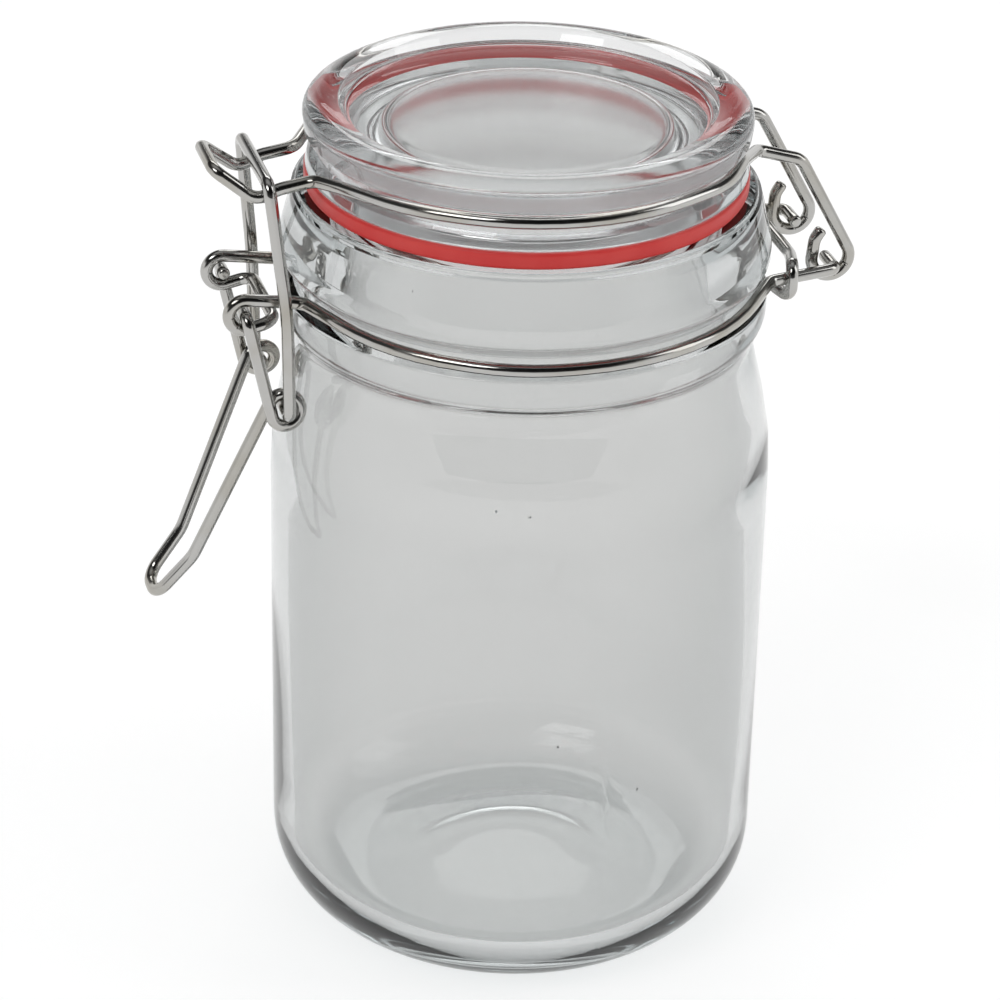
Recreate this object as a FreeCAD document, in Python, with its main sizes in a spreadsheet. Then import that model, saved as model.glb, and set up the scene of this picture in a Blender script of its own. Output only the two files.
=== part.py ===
"""Clip-top storage jar: pressed glass jar and lid, rubber seal and a three-wire clasp.

Millimetres, +Z up.  The origin is the middle of the ring foot that the jar stands on.
The clasp is on the -X side, the hinge on the +X side, and every hinge pin lies along Y.
All driving dimensions are cells of the spreadsheet "Sizes".
"""
import FreeCAD, Part
import math
import os

import Sketcher

Vector = FreeCAD.Vector

SIZES = (
    # jar glass, outside
    ("body_radius", 42.5, "outer radius of the straight wall"),
    ("base_corner", 15.1, "radius between wall and foot"),
    ("foot_inner_radius", 25.6, "inner edge of the ring foot"),
    ("foot_dome_radius", 14.0, "where the hollow base starts to fall to the foot"),
    ("foot_dome_blend", 30.0, "large radius at the edge of the hollow base"),
    ("foot_step", 1.6, "how far the base lies above the foot"),
    ("shoulder_height", 92.0, "height where wall and shoulder cone meet"),
    ("shoulder_blend", 62.0, "large radius between wall and shoulder"),
    ("waist_radius", 37.9, "smallest radius, under the neck"),
    ("waist_height", 110.9, "height of the waist"),
    ("waist_blend", 4.0, "hollow radius at the waist"),
    ("bead_radius", 40.5, "lower bead of the neck"),
    ("bead_low", 114.2, "lower edge of the bead"),
    ("bead_high", 118.7, "upper edge of the bead"),
    ("bead_blend", 5.0, "rounding of the bead's lower edge"),
    ("ring_wire_radius", 39.6, "middle line of the neck wire round the glass"),
    ("ring_wire_height", 120.4, "height of the neck wire and of the hinge pins"),
    ("groove_clearance", 0.1, "room between a wire and its groove"),
    ("ring_rise", 0.7, "how far the neck wire rises round the clasp side"),
    ("neck_radius", 40.8, "widest part of the neck ring"),
    ("neck_low", 124.6, "lower edge of the neck ring's widest part"),
    ("neck_high", 127.0, "upper edge of the neck ring's widest part"),
    ("neck_blend", 5.0, "rounding of the neck ring"),
    ("neck_low_blend", 2.0, "rounding of the neck ring's lower edge"),
    ("finish_radius", 38.75, "mould step under the mouth"),
    ("finish_height", 135.2, "height of the mould step"),
    ("mould_step_slope", 0.25, "height of the slope over the mould step"),
    ("mouth_radius", 38.2, "outer radius of the mouth's rim"),
    ("mouth_height", 136.25, "height of the mouth's rim"),
    ("mouth_rounding", 0.6, "rounding of the rim's edges"),
    # jar glass, inside
    ("wall", 3.3, "glass thickness of the wall"),
    ("base_thickness", 5.4, "height of the inner floor over the foot plane"),
    ("inner_corner", 11.0, "radius between inner wall and floor"),
    ("bore_radius", 33.4, "inner radius of the neck"),
    ("bore_low", 116.5, "height where the neck's bore starts"),
    ("bore_blend", 12.0, "rounding between bore and inner shoulder"),
    # seal
    ("seal_gap", 0.05, "paper-thin air gap between rim and seal"),
    ("seal_thickness", 2.75, "height of the rubber ring"),
    ("seal_radius", 36.8, "outer radius of the rubber ring"),
    ("seal_bore", 30.9, "inner radius of the rubber ring"),
    ("seal_rounding", 0.5, "rounding of the rubber ring"),
    # lid glass
    ("skirt_radius", 36.6, "outer radius of the lid at the seal"),
    ("shoulder_radius", 36.1, "outer radius of the lid under its wire"),
    ("shoulder_edge_height", 141.3, "height where the lid turns in towards its wire"),
    ("lid_wire_radius", 36.0, "middle line of the lid wire round the lid"),
    ("lid_wire_height", 144.05, "height of the lid wire round the lid"),
    ("flange_low_radius", 36.6, "lower edge of the lid's flange"),
    ("flange_radius", 37.0, "outer radius of the lid over its wire"),
    ("flange_lip", 0.4, "how far the flange's lower side rises outwards"),
    ("flange_rounding", 1.7, "rounding of the lid's upper edge"),
    ("lid_top", 151.0, "height of the lid's crest"),
    ("crest_radius", 33.8, "radius of the lid's crest"),
    ("crest_rounding", 4.4, "rounding of the lid's crest"),
    ("dish_radius", 31.0, "inner edge of the crest"),
    ("dish_edge_height", 150.2, "height of the crest's inner edge"),
    ("dish_floor_radius", 29.8, "radius of the dish's floor"),
    ("dish_height", 148.5, "height of the dish's floor"),
    ("plug_radius", 30.3, "radius of the centring plug at the seal"),
    ("plug_tip_radius", 29.0, "radius of the centring plug at its lower end"),
    ("plug_inner_radius", 25.8, "inner radius of the plug's lower end"),
    ("plug_depth", 5.6, "how far the plug reaches under the seal seat"),
    ("hollow_radius", 23.6, "radius of the hollow under the lid"),
    ("hollow_height", 142.6, "height of the hollow's ceiling"),
    ("hollow_blend", 2.0, "rounding of the hollow's corner"),
    ("plug_rounding", 1.2, "rounding of the plug"),
    # wires
    ("wire_diameter", 2.1, "all wires"),
    ("end_rounding", 0.6, "rounding of cut wire ends"),
    ("pin_bend", 1.5, "middle-line radius where a wire turns into a pin"),
    ("pin_end", 6.9, "half distance between the ends of the lever's and the link's pins"),
    ("root_bend", 2.4, "middle-line radius where an arm leaves a ring or meets a bar"),
    # hinge at +X
    ("hinge_across", 50.4, "hinge axis, distance from the jar's axis"),
    ("hinge_arm_spread", 12.7, "half distance between the neck wire's rear arms at the pins"),
    ("hinge_pin_end", 6.8, "half distance between the pin ends"),
    ("rear_root_across", 37.9, "bend where a rear arm leaves the ring"),
    ("rear_root_spread", 15.1, "half distance between those bends"),
    ("hook_spread", 9.7, "half distance between the lid wire's hooks"),
    ("hook_radius", 3.3, "middle-line radius of the hooks"),
    ("hook_rise", 0.9, "how far the hooks' centre lies over the hinge axis"),
    ("hook_slant", 0.2, "how far the runs beside a hook lie outside of it"),
    ("hook_tip_across", 47.4, "bend where the hooks' tips curl back"),
    ("hook_tip_height", 124.8, "bend where the hooks' tips curl back"),
    ("hook_end_across", 48.6, "cut ends of the hooks"),
    ("hook_end_height", 126.7, "cut ends of the hooks"),
    ("rear_bend_across", 44.1, "rear bend of the lid wire"),
    ("rear_bend_height", 139.6, "rear bend of the lid wire"),
    ("rear_bend_radius", 3.0, "rear bend of the lid wire"),
    ("lid_root_across", 36.4, "bend where the lid wire leaves the lid at the hinge"),
    ("lid_root_spread", 9.6, "half distance between those bends"),
    ("lid_root_height", 141.8, "height of those bends"),
    ("ring_entry_bend", 8.0, "bend where the lid wire reaches its groove at the hinge"),
    # lever pivot and neck wire nose at -X
    ("pivot_across", 49.4, "lever axis, distance from the jar's axis"),
    ("pivot_height", 120.7, "lever axis"),
    ("eye_spread", 8.95, "half distance between the neck wire's eyes"),
    ("eye_radius", 2.6, "middle-line radius of the eyes"),
    ("nose_bar_across", 44.4, "cross bar that joins the eyes"),
    ("nose_bar_height", 119.2, "cross bar that joins the eyes"),
    ("front_root_across", 39.8, "bend where a front arm leaves the ring"),
    ("front_root_height", 121.85, "bend where a front arm leaves the ring"),
    # tie that crosses behind the neck and wraps the near rear arm
    ("tie_across", 43.3, "crossing run, distance from the jar's axis"),
    ("tie_far_spread", 13.2, "cut end on the far rear arm"),
    ("tie_near_spread", 9.8, "bend between the crossing run and the wrap"),
    ("tie_bend", 9.0, "bend between the crossing run and the wrap"),
    ("tie_sink", 0.05, "how far the crossing run and the arm under it run into each other"),
    ("wrap_across", 41.55, "outer side of the wrap"),
    ("wrap_spread", 15.8, "outer side of the wrap"),
    ("wrap_rise", 0.4, "how far the wrap's outer side stands over and under its runs"),
    ("wrap_drop", 0.6, "air between the arm and the run under it"),
    ("wrap_bend", 2.0, "bends of the wrap"),
    ("tie_end_across", 40.1, "cut end under the near rear arm"),
    ("tie_end_spread", 11.5, "cut end under the near rear arm"),
    # lever
    ("leg_spread", 11.2, "half distance between the lever's legs"),
    ("coil_across", 43.05, "coil axis, distance from the jar's axis"),
    ("coil_height", 103.5, "coil axis"),
    ("coil_radius", 2.5, "middle-line radius of the coils"),
    ("arm_spread", 8.95, "half distance between the arms at the coils"),
    ("lip_across", 57.9, "bend where the thumb lip starts"),
    ("lip_height", 75.4, "bend where the thumb lip starts"),
    ("lip_spread", 5.0, "half distance between the arms at the lip"),
    ("lip_bend", 8.0, "bend where the thumb lip starts"),
    ("lip_end_across", 64.05, "end of the thumb lip"),
    ("lip_end_height", 67.85, "end of the thumb lip"),
    ("lip_end_spread", 3.5, "half width of the thumb lip's end"),
    ("lip_end_bend", 3.3, "corners of the thumb lip's end"),
    # link
    ("link_spread", 13.5, "half distance between the link's legs"),
    ("link_bar_across", 45.6, "link bar over the lid wire's nose"),
    ("link_bar_height", 143.6, "link bar over the lid wire's nose"),
    ("link_bar_spread", 10.7, "half length of the link bar to its bends"),
    ("link_bar_bend", 2.2, "corners of the link bar"),
    ("link_waist_height", 122.0, "height where the link's legs turn inwards"),
    ("link_waist_across", 43.4, "distance of that turn from the jar's axis"),
    ("link_waist_bend", 40.0, "gentle bend of the link's legs"),
    # lid wire nose
    ("dip_across", 46.85, "low point of the lid wire's nose"),
    ("dip_height", 139.65, "low point of the lid wire's nose"),
    ("dip_spread", 6.9, "half width of the nose at the low point"),
    ("tip_across", 53.4, "tip of the lid wire's nose"),
    ("tip_height", 144.9, "tip of the lid wire's nose"),
    ("tip_spread", 5.5, "half width of the nose at its tip"),
    ("tip_bend", 1.9, "corners of the nose's tip"),
    ("nose_bend", 3.0, "bends at the nose's root and low point"),
    ("nose_root_across", 37.5, "bend between lid ring and nose"),
    ("nose_root_height", 142.3, "bend between lid ring and nose"),
    ("nose_root_spread", 7.2, "half width of the nose at its root"),
    ("nose_drop_across", 34.3, "point where the wire has left the lid's groove"),
    ("nose_drop_height", 142.9, "point where the wire has left the lid's groove"),
    ("nose_drop_spread", 12.4, "half distance between those points"),
    ("nose_drop_bend", 12.0, "bend where the wire leaves the groove"),
    ("nose_arm_across", 43.4, "bend before the nose's low point"),
    ("nose_arm_height", 141.35, "bend before the nose's low point"),
    ("nose_arm_bend", 6.0, "bend before the nose's low point"),
)
RISE_STARTS_AT = 120.0  # degrees from +X, where the neck wire starts to rise to the clasp

doc = FreeCAD.newDocument("ClipTopJar")
sheet = doc.addObject("Spreadsheet::Sheet", "Sizes")
for row, (alias, millimetres, note) in enumerate(SIZES, start=1):
    sheet.set(f"A{row}", note)
    sheet.set(f"B{row}", str(millimetres))
    sheet.setAlias(f"B{row}", alias)
doc.recompute()


def size(alias):
    """The value of one cell of the sheet, in millimetres."""
    return float(sheet.get(alias))


def origin_plane(body, role):
    """One of a body's own origin planes, found by its role."""
    for feature in body.Origin.OriginFeatures:
        if feature.Role == role:
            return feature
    raise RuntimeError(f"{body.Label} has no {role}")


# ---------------------------------------------------------------- turned glass and rubber

def turned_profile(body, name, corners):
    """A closed sketch in the XZ plane whose corners are bound to the sheet.

    Each corner is a pair of expressions: its radius and its height.
    """
    sketch = body.newObject("Sketcher::SketchObject", name)
    sketch.AttachmentSupport = [(origin_plane(body, "XZ_Plane"), "")]
    sketch.MapMode = "FlatFace"
    places = []
    for radius, height in corners:
        across = sketch.evalExpression(radius)
        up = sketch.evalExpression(height)
        places.append(Vector(float(across), float(up), 0))
    count = len(places)
    for index in range(count):
        line = Part.LineSegment(places[index], places[(index + 1) % count])
        sketch.addGeometry(line)
    for index in range(count):
        following = (index + 1) % count
        sketch.addConstraint(Sketcher.Constraint("Coincident", index, 2, following, 1))
    for index, (radius, height) in enumerate(corners):
        for direction, expression, place in (
            ("DistanceX", radius, places[index].x),
            ("DistanceY", height, places[index].y),
        ):
            rule = Sketcher.Constraint(direction, -1, 1, index, 1, place)
            number = sketch.addConstraint(rule)
            sketch.setExpression(f"Constraints[{number}]", expression)
    return sketch


def turned(body, kind, name, corners):
    """Turn a closed profile about the Z axis, as a Revolution or a Groove."""
    sketch = turned_profile(body, name + "Profile", corners)
    feature = body.newObject(kind, name)
    feature.Profile = sketch
    feature.ReferenceAxis = (sketch, ["V_Axis"])
    feature.Angle = 360
    sketch.Visibility = False
    doc.recompute()
    return feature


def rounded(body, name, expression, rims):
    """Round the circular edges of a body that lie at the given radius and height."""
    tip = body.Tip
    radius_of_edge = []
    for radius, height in rims:
        wanted = (float(tip.evalExpression(radius)), float(tip.evalExpression(height)))
        for number, edge in enumerate(tip.Shape.Edges, start=1):
            curve = edge.Curve
            if not isinstance(curve, Part.Circle):
                continue
            if abs(curve.Radius - wanted[0]) + abs(curve.Center.z - wanted[1]) < 0.01:
                radius_of_edge.append(f"Edge{number}")
    if len(radius_of_edge) != len(rims):
        raise RuntimeError(f"{name}: {len(radius_of_edge)} of {len(rims)} edges found")
    feature = body.newObject("PartDesign::Fillet", name)
    feature.Base = (tip, radius_of_edge)
    feature.setExpression("Radius", expression)
    doc.recompute()
    return feature


def volume_falls(body, before):
    """Stop if a cut left the body's volume as it was."""
    if body.Shape.Volume > before - 1.0:
        raise RuntimeError(f"{body.Label}: a cut removed nothing")


def make_jar_air():
    """The room inside the jar, which is cut out of the glass."""
    body = doc.addObject("PartDesign::Body", "JarAir")
    inner_wall = "Sizes.body_radius - Sizes.wall"
    section = (
        ("0", "Sizes.base_thickness"),
        (inner_wall, "Sizes.base_thickness"),
        (inner_wall, "Sizes.shoulder_height"),
        ("Sizes.bore_radius", "Sizes.bore_low"),
        ("Sizes.bore_radius", "Sizes.mouth_height"),
        ("0", "Sizes.mouth_height"),
    )
    turned(body, "PartDesign::Revolution", "Air", section)
    rounded(body, "AirCorner", "Sizes.inner_corner", ((inner_wall, "Sizes.base_thickness"),))
    rounded(body, "AirShoulder", "Sizes.shoulder_blend / 2",
            ((inner_wall, "Sizes.shoulder_height"),))
    rounded(body, "AirNeck", "Sizes.bore_blend", (("Sizes.bore_radius", "Sizes.bore_low"),))
    return body


def make_jar_glass():
    """Glass jar: ring foot, straight wall, shoulder, waist, bead, wire groove, neck and rim."""
    body = doc.addObject("PartDesign::Body", "JarGlass")
    body.Label = "jar_glass"
    groove_floor = "Sizes.ring_wire_radius - Sizes.wire_diameter / 2 - Sizes.groove_clearance"
    groove_low = "Sizes.ring_wire_height - Sizes.wire_diameter / 2 - Sizes.groove_clearance"
    groove_high = ("Sizes.ring_wire_height + Sizes.wire_diameter / 2"
                   " + Sizes.groove_clearance + Sizes.ring_rise / 2")
    outside = (
        ("0", "Sizes.foot_step"),
        ("Sizes.foot_dome_radius", "Sizes.foot_step"),
        ("Sizes.foot_inner_radius", "0"),
        ("Sizes.body_radius", "0"),
        ("Sizes.body_radius", "Sizes.shoulder_height"),
        ("Sizes.waist_radius", "Sizes.waist_height"),
        ("Sizes.bead_radius", "Sizes.bead_low"),
        ("Sizes.bead_radius", "Sizes.bead_high"),
        (groove_floor, groove_low),
        (groove_floor, groove_high),
        ("Sizes.neck_radius", "Sizes.neck_low"),
        ("Sizes.neck_radius", "Sizes.neck_high"),
        ("Sizes.finish_radius", "Sizes.finish_height"),
        ("Sizes.mouth_radius", "Sizes.finish_height + Sizes.mould_step_slope"),
        ("Sizes.mouth_radius", "Sizes.mouth_height"),
        ("0", "Sizes.mouth_height"),
    )
    turned(body, "PartDesign::Revolution", "JarOutside", outside)
    rounded(body, "FootDome", "Sizes.foot_dome_blend",
            (("Sizes.foot_dome_radius", "Sizes.foot_step"),))
    rounded(body, "BaseCorner", "Sizes.base_corner", (("Sizes.body_radius", "0"),))
    rounded(body, "Shoulder", "Sizes.shoulder_blend",
            (("Sizes.body_radius", "Sizes.shoulder_height"),))
    rounded(body, "Waist", "Sizes.waist_blend", (("Sizes.waist_radius", "Sizes.waist_height"),))
    rounded(body, "BeadLow", "Sizes.bead_blend", (("Sizes.bead_radius", "Sizes.bead_low"),))
    rounded(body, "BeadHigh", "Sizes.mouth_rounding",
            (("Sizes.bead_radius", "Sizes.bead_high"),))
    rounded(body, "NeckRing", "Sizes.neck_blend",
            (("Sizes.neck_radius", "Sizes.neck_high"),))
    rounded(body, "NeckRingLow", "Sizes.neck_low_blend",
            (("Sizes.neck_radius", "Sizes.neck_low"),))
    solid_volume = body.Shape.Volume
    hollow = body.newObject("PartDesign::Boolean", "JarHollow")
    hollow.Type = "Cut"
    hollow.setObjects([make_jar_air()])
    body.Tip = hollow
    doc.recompute()
    volume_falls(body, solid_volume)
    rounded(body, "Rim", "Sizes.mouth_rounding",
            (("Sizes.mouth_radius", "Sizes.mouth_height"),
             ("Sizes.bore_radius", "Sizes.mouth_height")))
    return body


def make_seal_ring():
    """Flat rubber ring between the jar's rim and the lid."""
    body = doc.addObject("PartDesign::Body", "SealRing")
    body.Label = "seal_ring"
    low = "Sizes.mouth_height + Sizes.seal_gap"
    high = low + " + Sizes.seal_thickness"
    section = (
        ("Sizes.seal_bore", low),
        ("Sizes.seal_radius", low),
        ("Sizes.seal_radius", high),
        ("Sizes.seal_bore", high),
    )
    turned(body, "PartDesign::Revolution", "Seal", section)
    rounded(body, "SealEdge", "Sizes.seal_rounding",
            (("Sizes.seal_radius", low), ("Sizes.seal_radius", high)))
    return body


def make_lid_glass():
    """Pressed glass lid: skirt, wire groove, flange, crest round a dish, and centring plug."""
    body = doc.addObject("PartDesign::Body", "LidGlass")
    body.Label = "lid_glass"
    seat = "Sizes.mouth_height + Sizes.seal_gap + Sizes.seal_thickness"
    groove_floor = "Sizes.lid_wire_radius - Sizes.wire_diameter / 2 - Sizes.groove_clearance"
    groove_low = "Sizes.lid_wire_height - Sizes.wire_diameter / 2 - Sizes.groove_clearance"
    groove_high = "Sizes.lid_wire_height + Sizes.wire_diameter / 2 + Sizes.groove_clearance"
    plug_low = seat + " - Sizes.plug_depth"
    section = (
        ("0", "Sizes.hollow_height"),
        ("Sizes.hollow_radius", "Sizes.hollow_height"),
        ("Sizes.plug_inner_radius", plug_low),
        ("Sizes.plug_tip_radius", plug_low),
        ("Sizes.plug_radius", seat),
        ("Sizes.skirt_radius", seat),
        ("Sizes.shoulder_radius", "Sizes.shoulder_edge_height"),
        (groove_floor, groove_low),
        (groove_floor, groove_high),
        ("Sizes.flange_low_radius", groove_high + " + Sizes.flange_lip"),
        ("Sizes.flange_radius", "Sizes.lid_top - Sizes.flange_rounding"),
        ("Sizes.crest_radius", "Sizes.lid_top"),
        ("Sizes.dish_radius", "Sizes.dish_edge_height"),
        ("Sizes.dish_floor_radius", "Sizes.dish_height"),
        ("0", "Sizes.dish_height"),
    )
    turned(body, "PartDesign::Revolution", "Lid", section)
    rounded(body, "FlangeEdge", "Sizes.flange_rounding",
            (("Sizes.flange_radius", "Sizes.lid_top - Sizes.flange_rounding"),))
    rounded(body, "Crest", "Sizes.crest_rounding", (("Sizes.crest_radius", "Sizes.lid_top"),))
    rounded(body, "SkirtEdges", "Sizes.end_rounding",
            (("Sizes.skirt_radius", seat),
             ("Sizes.shoulder_radius", "Sizes.shoulder_edge_height"),
             ("Sizes.flange_low_radius", groove_high + " + Sizes.flange_lip"),
             ("Sizes.dish_radius", "Sizes.dish_edge_height")))
    rounded(body, "PlugEdges", "Sizes.plug_rounding",
            (("Sizes.plug_tip_radius", plug_low), ("Sizes.plug_inner_radius", plug_low)))
    rounded(body, "DishCorner", "Sizes.plug_rounding",
            (("Sizes.dish_floor_radius", "Sizes.dish_height"),))
    rounded(body, "HollowCorner", "Sizes.hollow_blend",
            (("Sizes.hollow_radius", "Sizes.hollow_height"),))
    return body


# ---------------------------------------------------------------- bent wire

def turn_at(points, index):
    """The angle through which a path turns at one of its inner points."""
    back = points[index - 1] - points[index]
    ahead = points[index + 1] - points[index]
    return math.pi - back.getAngle(ahead)


def bend_radii(points, wished):
    """The wished radius at each inner point, or the largest that its two runs have room for."""
    radii = [0.0] * len(points)
    last = len(points) - 1
    for index in range(1, last):
        before = points[index].distanceToPoint(points[index - 1])
        after = points[index].distanceToPoint(points[index + 1])
        room = min(before if index == 1 else before / 2, after if index == last - 1 else after / 2)
        fits = 0.999 * room / math.tan(turn_at(points, index) / 2)
        radii[index] = min(wished[index], fits)
    return radii


def bent_path(points, wished):
    """A smooth wire of straight runs and tangent arcs through a chain of corner points."""
    radii = bend_radii(points, wished)
    edges = []
    here = points[0]
    for index in range(1, len(points) - 1):
        corner = points[index]
        back = (points[index - 1] - corner).normalize()
        ahead = (points[index + 1] - corner).normalize()
        half_turn = turn_at(points, index) / 2
        reach = radii[index] * math.tan(half_turn)
        inward = radii[index] / math.cos(half_turn) - radii[index]
        start = corner + back * reach
        middle = corner + (back + ahead).normalize() * inward
        end = corner + ahead * reach
        edges.append(Part.LineSegment(here, start).toShape())
        edges.append(Part.Arc(start, middle, end).toShape())
        here = end
    edges.append(Part.LineSegment(here, points[-1]).toShape())
    return Part.Wire(edges)


def both_sides(near_half):
    """A path that is the same on both sides of the XZ plane, from its near half."""
    far_half = [(Vector(point.x, -point.y, point.z), bend) for point, bend in reversed(near_half)]
    return near_half + far_half


def arc_corners(centre, radius, start, end, spread_start, spread_end, steps):
    """Corner points round an arc in an XZ plane; the arc touches each run in its middle.

    The angles are in degrees from +X towards +Z.  The spread is the distance from the XZ
    plane, and changes evenly from the first corner to the last, as in a coil.
    """
    step = math.radians(end - start) / steps
    corner_radius = radius / math.cos(step / 2)
    corners = []
    for number in range(steps):
        angle = math.radians(start) + (number + 0.5) * step
        share = number / max(steps - 1, 1)
        spread = spread_start + share * (spread_end - spread_start)
        place = Vector(centre.x + corner_radius * math.cos(angle), -spread,
                       centre.z + corner_radius * math.sin(angle))
        corners.append((place, radius))
    return corners


def touch_angle(centre, radius, outside, side):
    """The angle on a circle, in degrees, where a straight run to an outside point touches it."""
    across = outside.x - centre.x
    up = outside.z - centre.z
    distance = math.hypot(across, up)
    return math.degrees(math.atan2(up, across) + side * math.acos(radius / distance))


def ring_corners(radius, start, end, height_start, height_end, steps):
    """Corner points round the near side of a ring, between two angles in degrees from +X.

    The arc touches each run in its middle.  The height changes evenly along the ring.
    """
    step = math.radians(end - start) / steps
    corner_radius = radius / math.cos(step / 2)
    corners = []
    for number in range(steps):
        share = (number + 0.5) / steps
        angle = math.radians(start) + share * steps * step
        height = height_start + share * (height_end - height_start)
        place = Vector(corner_radius * math.cos(angle), -corner_radius * math.sin(angle), height)
        corners.append((place, radius))
    return corners


def ring_point(radius, angle, height):
    """The point of a level ring's near side at an angle in degrees from +X."""
    turn = math.radians(angle)
    return Vector(radius * math.cos(turn), -radius * math.sin(turn), height)


def leave_angle(radius, outside, side):
    """The angle on a ring, in degrees from +X, where a run to an outside point leaves it."""
    distance = math.hypot(outside.x, outside.y)
    return math.degrees(math.atan2(-outside.y, outside.x) + side * math.acos(radius / distance))


def wire_solid(name, chain):
    """Sweep the wire's round section along a chain of (corner, bend radius) pairs."""
    points = [point for point, bend in chain]
    path = doc.addObject("Part::Feature", name + "Path")
    path.Shape = bent_path(points, [bend for point, bend in chain])
    section = doc.addObject("Part::Circle", name + "Section")
    section.setExpression("Radius", "Sizes.wire_diameter / 2")
    aim = FreeCAD.Rotation(Vector(0, 0, 1), points[1] - points[0])
    section.Placement = FreeCAD.Placement(points[0], aim)
    sweep = doc.addObject("Part::Sweep", name + "Sweep")
    sweep.Sections = [section]
    sweep.Spine = (path, [f"Edge{number}" for number in range(1, len(path.Shape.Edges) + 1)])
    sweep.Solid = True
    doc.recompute()
    expected = path.Shape.Length * math.pi * (size("wire_diameter") / 2) ** 2
    if abs(sweep.Shape.Volume / expected - 1) > 0.01:
        raise RuntimeError(f"{name}: swept volume is not section times length")
    return sweep


def rounded_ends(name, wire):
    """Round both cut ends of a swept wire."""
    radius = size("end_rounding")
    centres = [face.CenterOfMass for face in wire.Shape.Faces
               if isinstance(face.Surface, Part.Plane)]
    ends = []
    for number, edge in enumerate(wire.Shape.Edges, start=1):
        if not isinstance(edge.Curve, Part.Circle):
            continue
        if min(edge.Curve.Center.distanceToPoint(centre) for centre in centres) < 0.001:
            ends.append((number, radius, radius))
    fillet = doc.addObject("Part::Fillet", name)
    fillet.Base = wire
    fillet.Edges = ends
    doc.recompute()
    if len(ends) != 2:
        raise RuntimeError(f"{name}: {len(ends)} ends found")
    return fillet


def make_neck_wire():
    """Neck wire: hinge pins, ring round the neck, two eyes joined by a bar, and the tied end."""
    radius = size("ring_wire_radius")
    height = size("ring_wire_height")
    hinge = size("hinge_across")
    root_bend = size("root_bend")
    rear = Vector(size("rear_root_across"), -size("rear_root_spread"), height)
    front = Vector(-size("front_root_across"), -size("eye_spread"), size("front_root_height"))
    leave_rear = leave_angle(radius, rear, 1)
    leave_front = leave_angle(radius, front, -1)
    pivot = Vector(-size("pivot_across"), 0, size("pivot_height"))
    eye = size("eye_radius")
    eye_spread = size("eye_spread")
    bar = Vector(-size("nose_bar_across"), -eye_spread, size("nose_bar_height"))
    near_half = [
        (Vector(hinge, -size("hinge_pin_end"), height), 0.0),
        (Vector(hinge, -size("hinge_arm_spread"), height), size("pin_bend")),
        (rear, root_bend),
    ]
    near_half += ring_corners(radius, leave_rear, RISE_STARTS_AT, height, height, 3)
    near_half += ring_corners(radius, RISE_STARTS_AT, leave_front,
                              height, height + size("ring_rise"), 2)
    near_half += [(front, root_bend)]
    near_half += arc_corners(pivot, eye, touch_angle(pivot, eye, front, 1),
                             360.0 + touch_angle(pivot, eye, bar, -1), eye_spread, eye_spread, 4)
    near_half += [(bar, root_bend)]
    ring = wire_solid("NeckRingWire", both_sides(near_half))
    over = height + size("wire_diameter") - size("tie_sink")
    under = height - size("wire_diameter") - size("wrap_drop")
    across = size("tie_across")
    wrap_across = size("wrap_across")
    wrap_spread = size("wrap_spread")
    wrap_bend = size("wrap_bend")
    tie = wire_solid("NeckTie", [
        (Vector(across, size("tie_far_spread"), over), 0.0),
        (Vector(across, -size("tie_near_spread"), over), size("tie_bend")),
        (Vector(wrap_across, -wrap_spread, over + size("wrap_rise")), wrap_bend),
        (Vector(wrap_across, -wrap_spread, under - size("wrap_rise")), wrap_bend),
        (Vector(size("tie_end_across"), -size("tie_end_spread"), under), 0.0),
    ])
    wire = doc.addObject("Part::MultiFuse", "NeckWire")
    wire.Shapes = [rounded_ends("NeckRingEnds", ring), rounded_ends("NeckTieEnds", tie)]
    wire.Label = "neck_wire"
    doc.recompute()
    return wire


def make_lid_wire():
    """Lid wire: rear hooks round the hinge pins, ring round the lid, and the nose at the front."""
    radius = size("lid_wire_radius")
    height = size("lid_wire_height")
    hook = size("hook_radius")
    spread = size("hook_spread")
    centre = Vector(size("hinge_across"), 0, size("ring_wire_height") + size("hook_rise"))
    slanted = -spread - size("hook_slant")
    hook_end = Vector(size("hook_end_across"), slanted, size("hook_end_height"))
    tip = Vector(size("hook_tip_across"), slanted, size("hook_tip_height"))
    rear = Vector(size("rear_bend_across"), slanted, size("rear_bend_height"))
    root = Vector(size("lid_root_across"), -size("lid_root_spread"), size("lid_root_height"))
    drop = Vector(-size("nose_drop_across"), -size("nose_drop_spread"),
                  size("nose_drop_height"))
    leave_rear = leave_angle(radius, root, 1)
    nose_bend = size("nose_bend")
    start = touch_angle(centre, hook, tip, 1)
    end = touch_angle(centre, hook, rear, -1)
    near_half = [
        (hook_end, 0.0),
        (tip, size("rear_bend_radius")),
    ]
    near_half += arc_corners(centre, hook, start, 360.0 + end, spread, spread, 4)
    near_half += [
        (rear, size("rear_bend_radius")),
        (root, size("root_bend")),
        (ring_point(radius, leave_rear, height), size("ring_entry_bend")),
    ]
    near_half += ring_corners(radius, leave_rear, leave_angle(radius, drop, -1),
                              height, height, 4)
    near_half += [
        (drop, size("nose_drop_bend")),
        (Vector(-size("nose_root_across"), -size("nose_root_spread"),
                size("nose_root_height")), nose_bend),
        (Vector(-size("nose_arm_across"), -size("nose_root_spread"),
                size("nose_arm_height")), size("nose_arm_bend")),
        (Vector(-size("dip_across"), -size("dip_spread"), size("dip_height")), nose_bend),
        (Vector(-size("tip_across"), -size("tip_spread"), size("tip_height")), size("tip_bend")),
    ]
    wire = rounded_ends("LidWire", wire_solid("LidRingWire", both_sides(near_half)))
    wire.Label = "lid_wire"
    return wire


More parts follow.
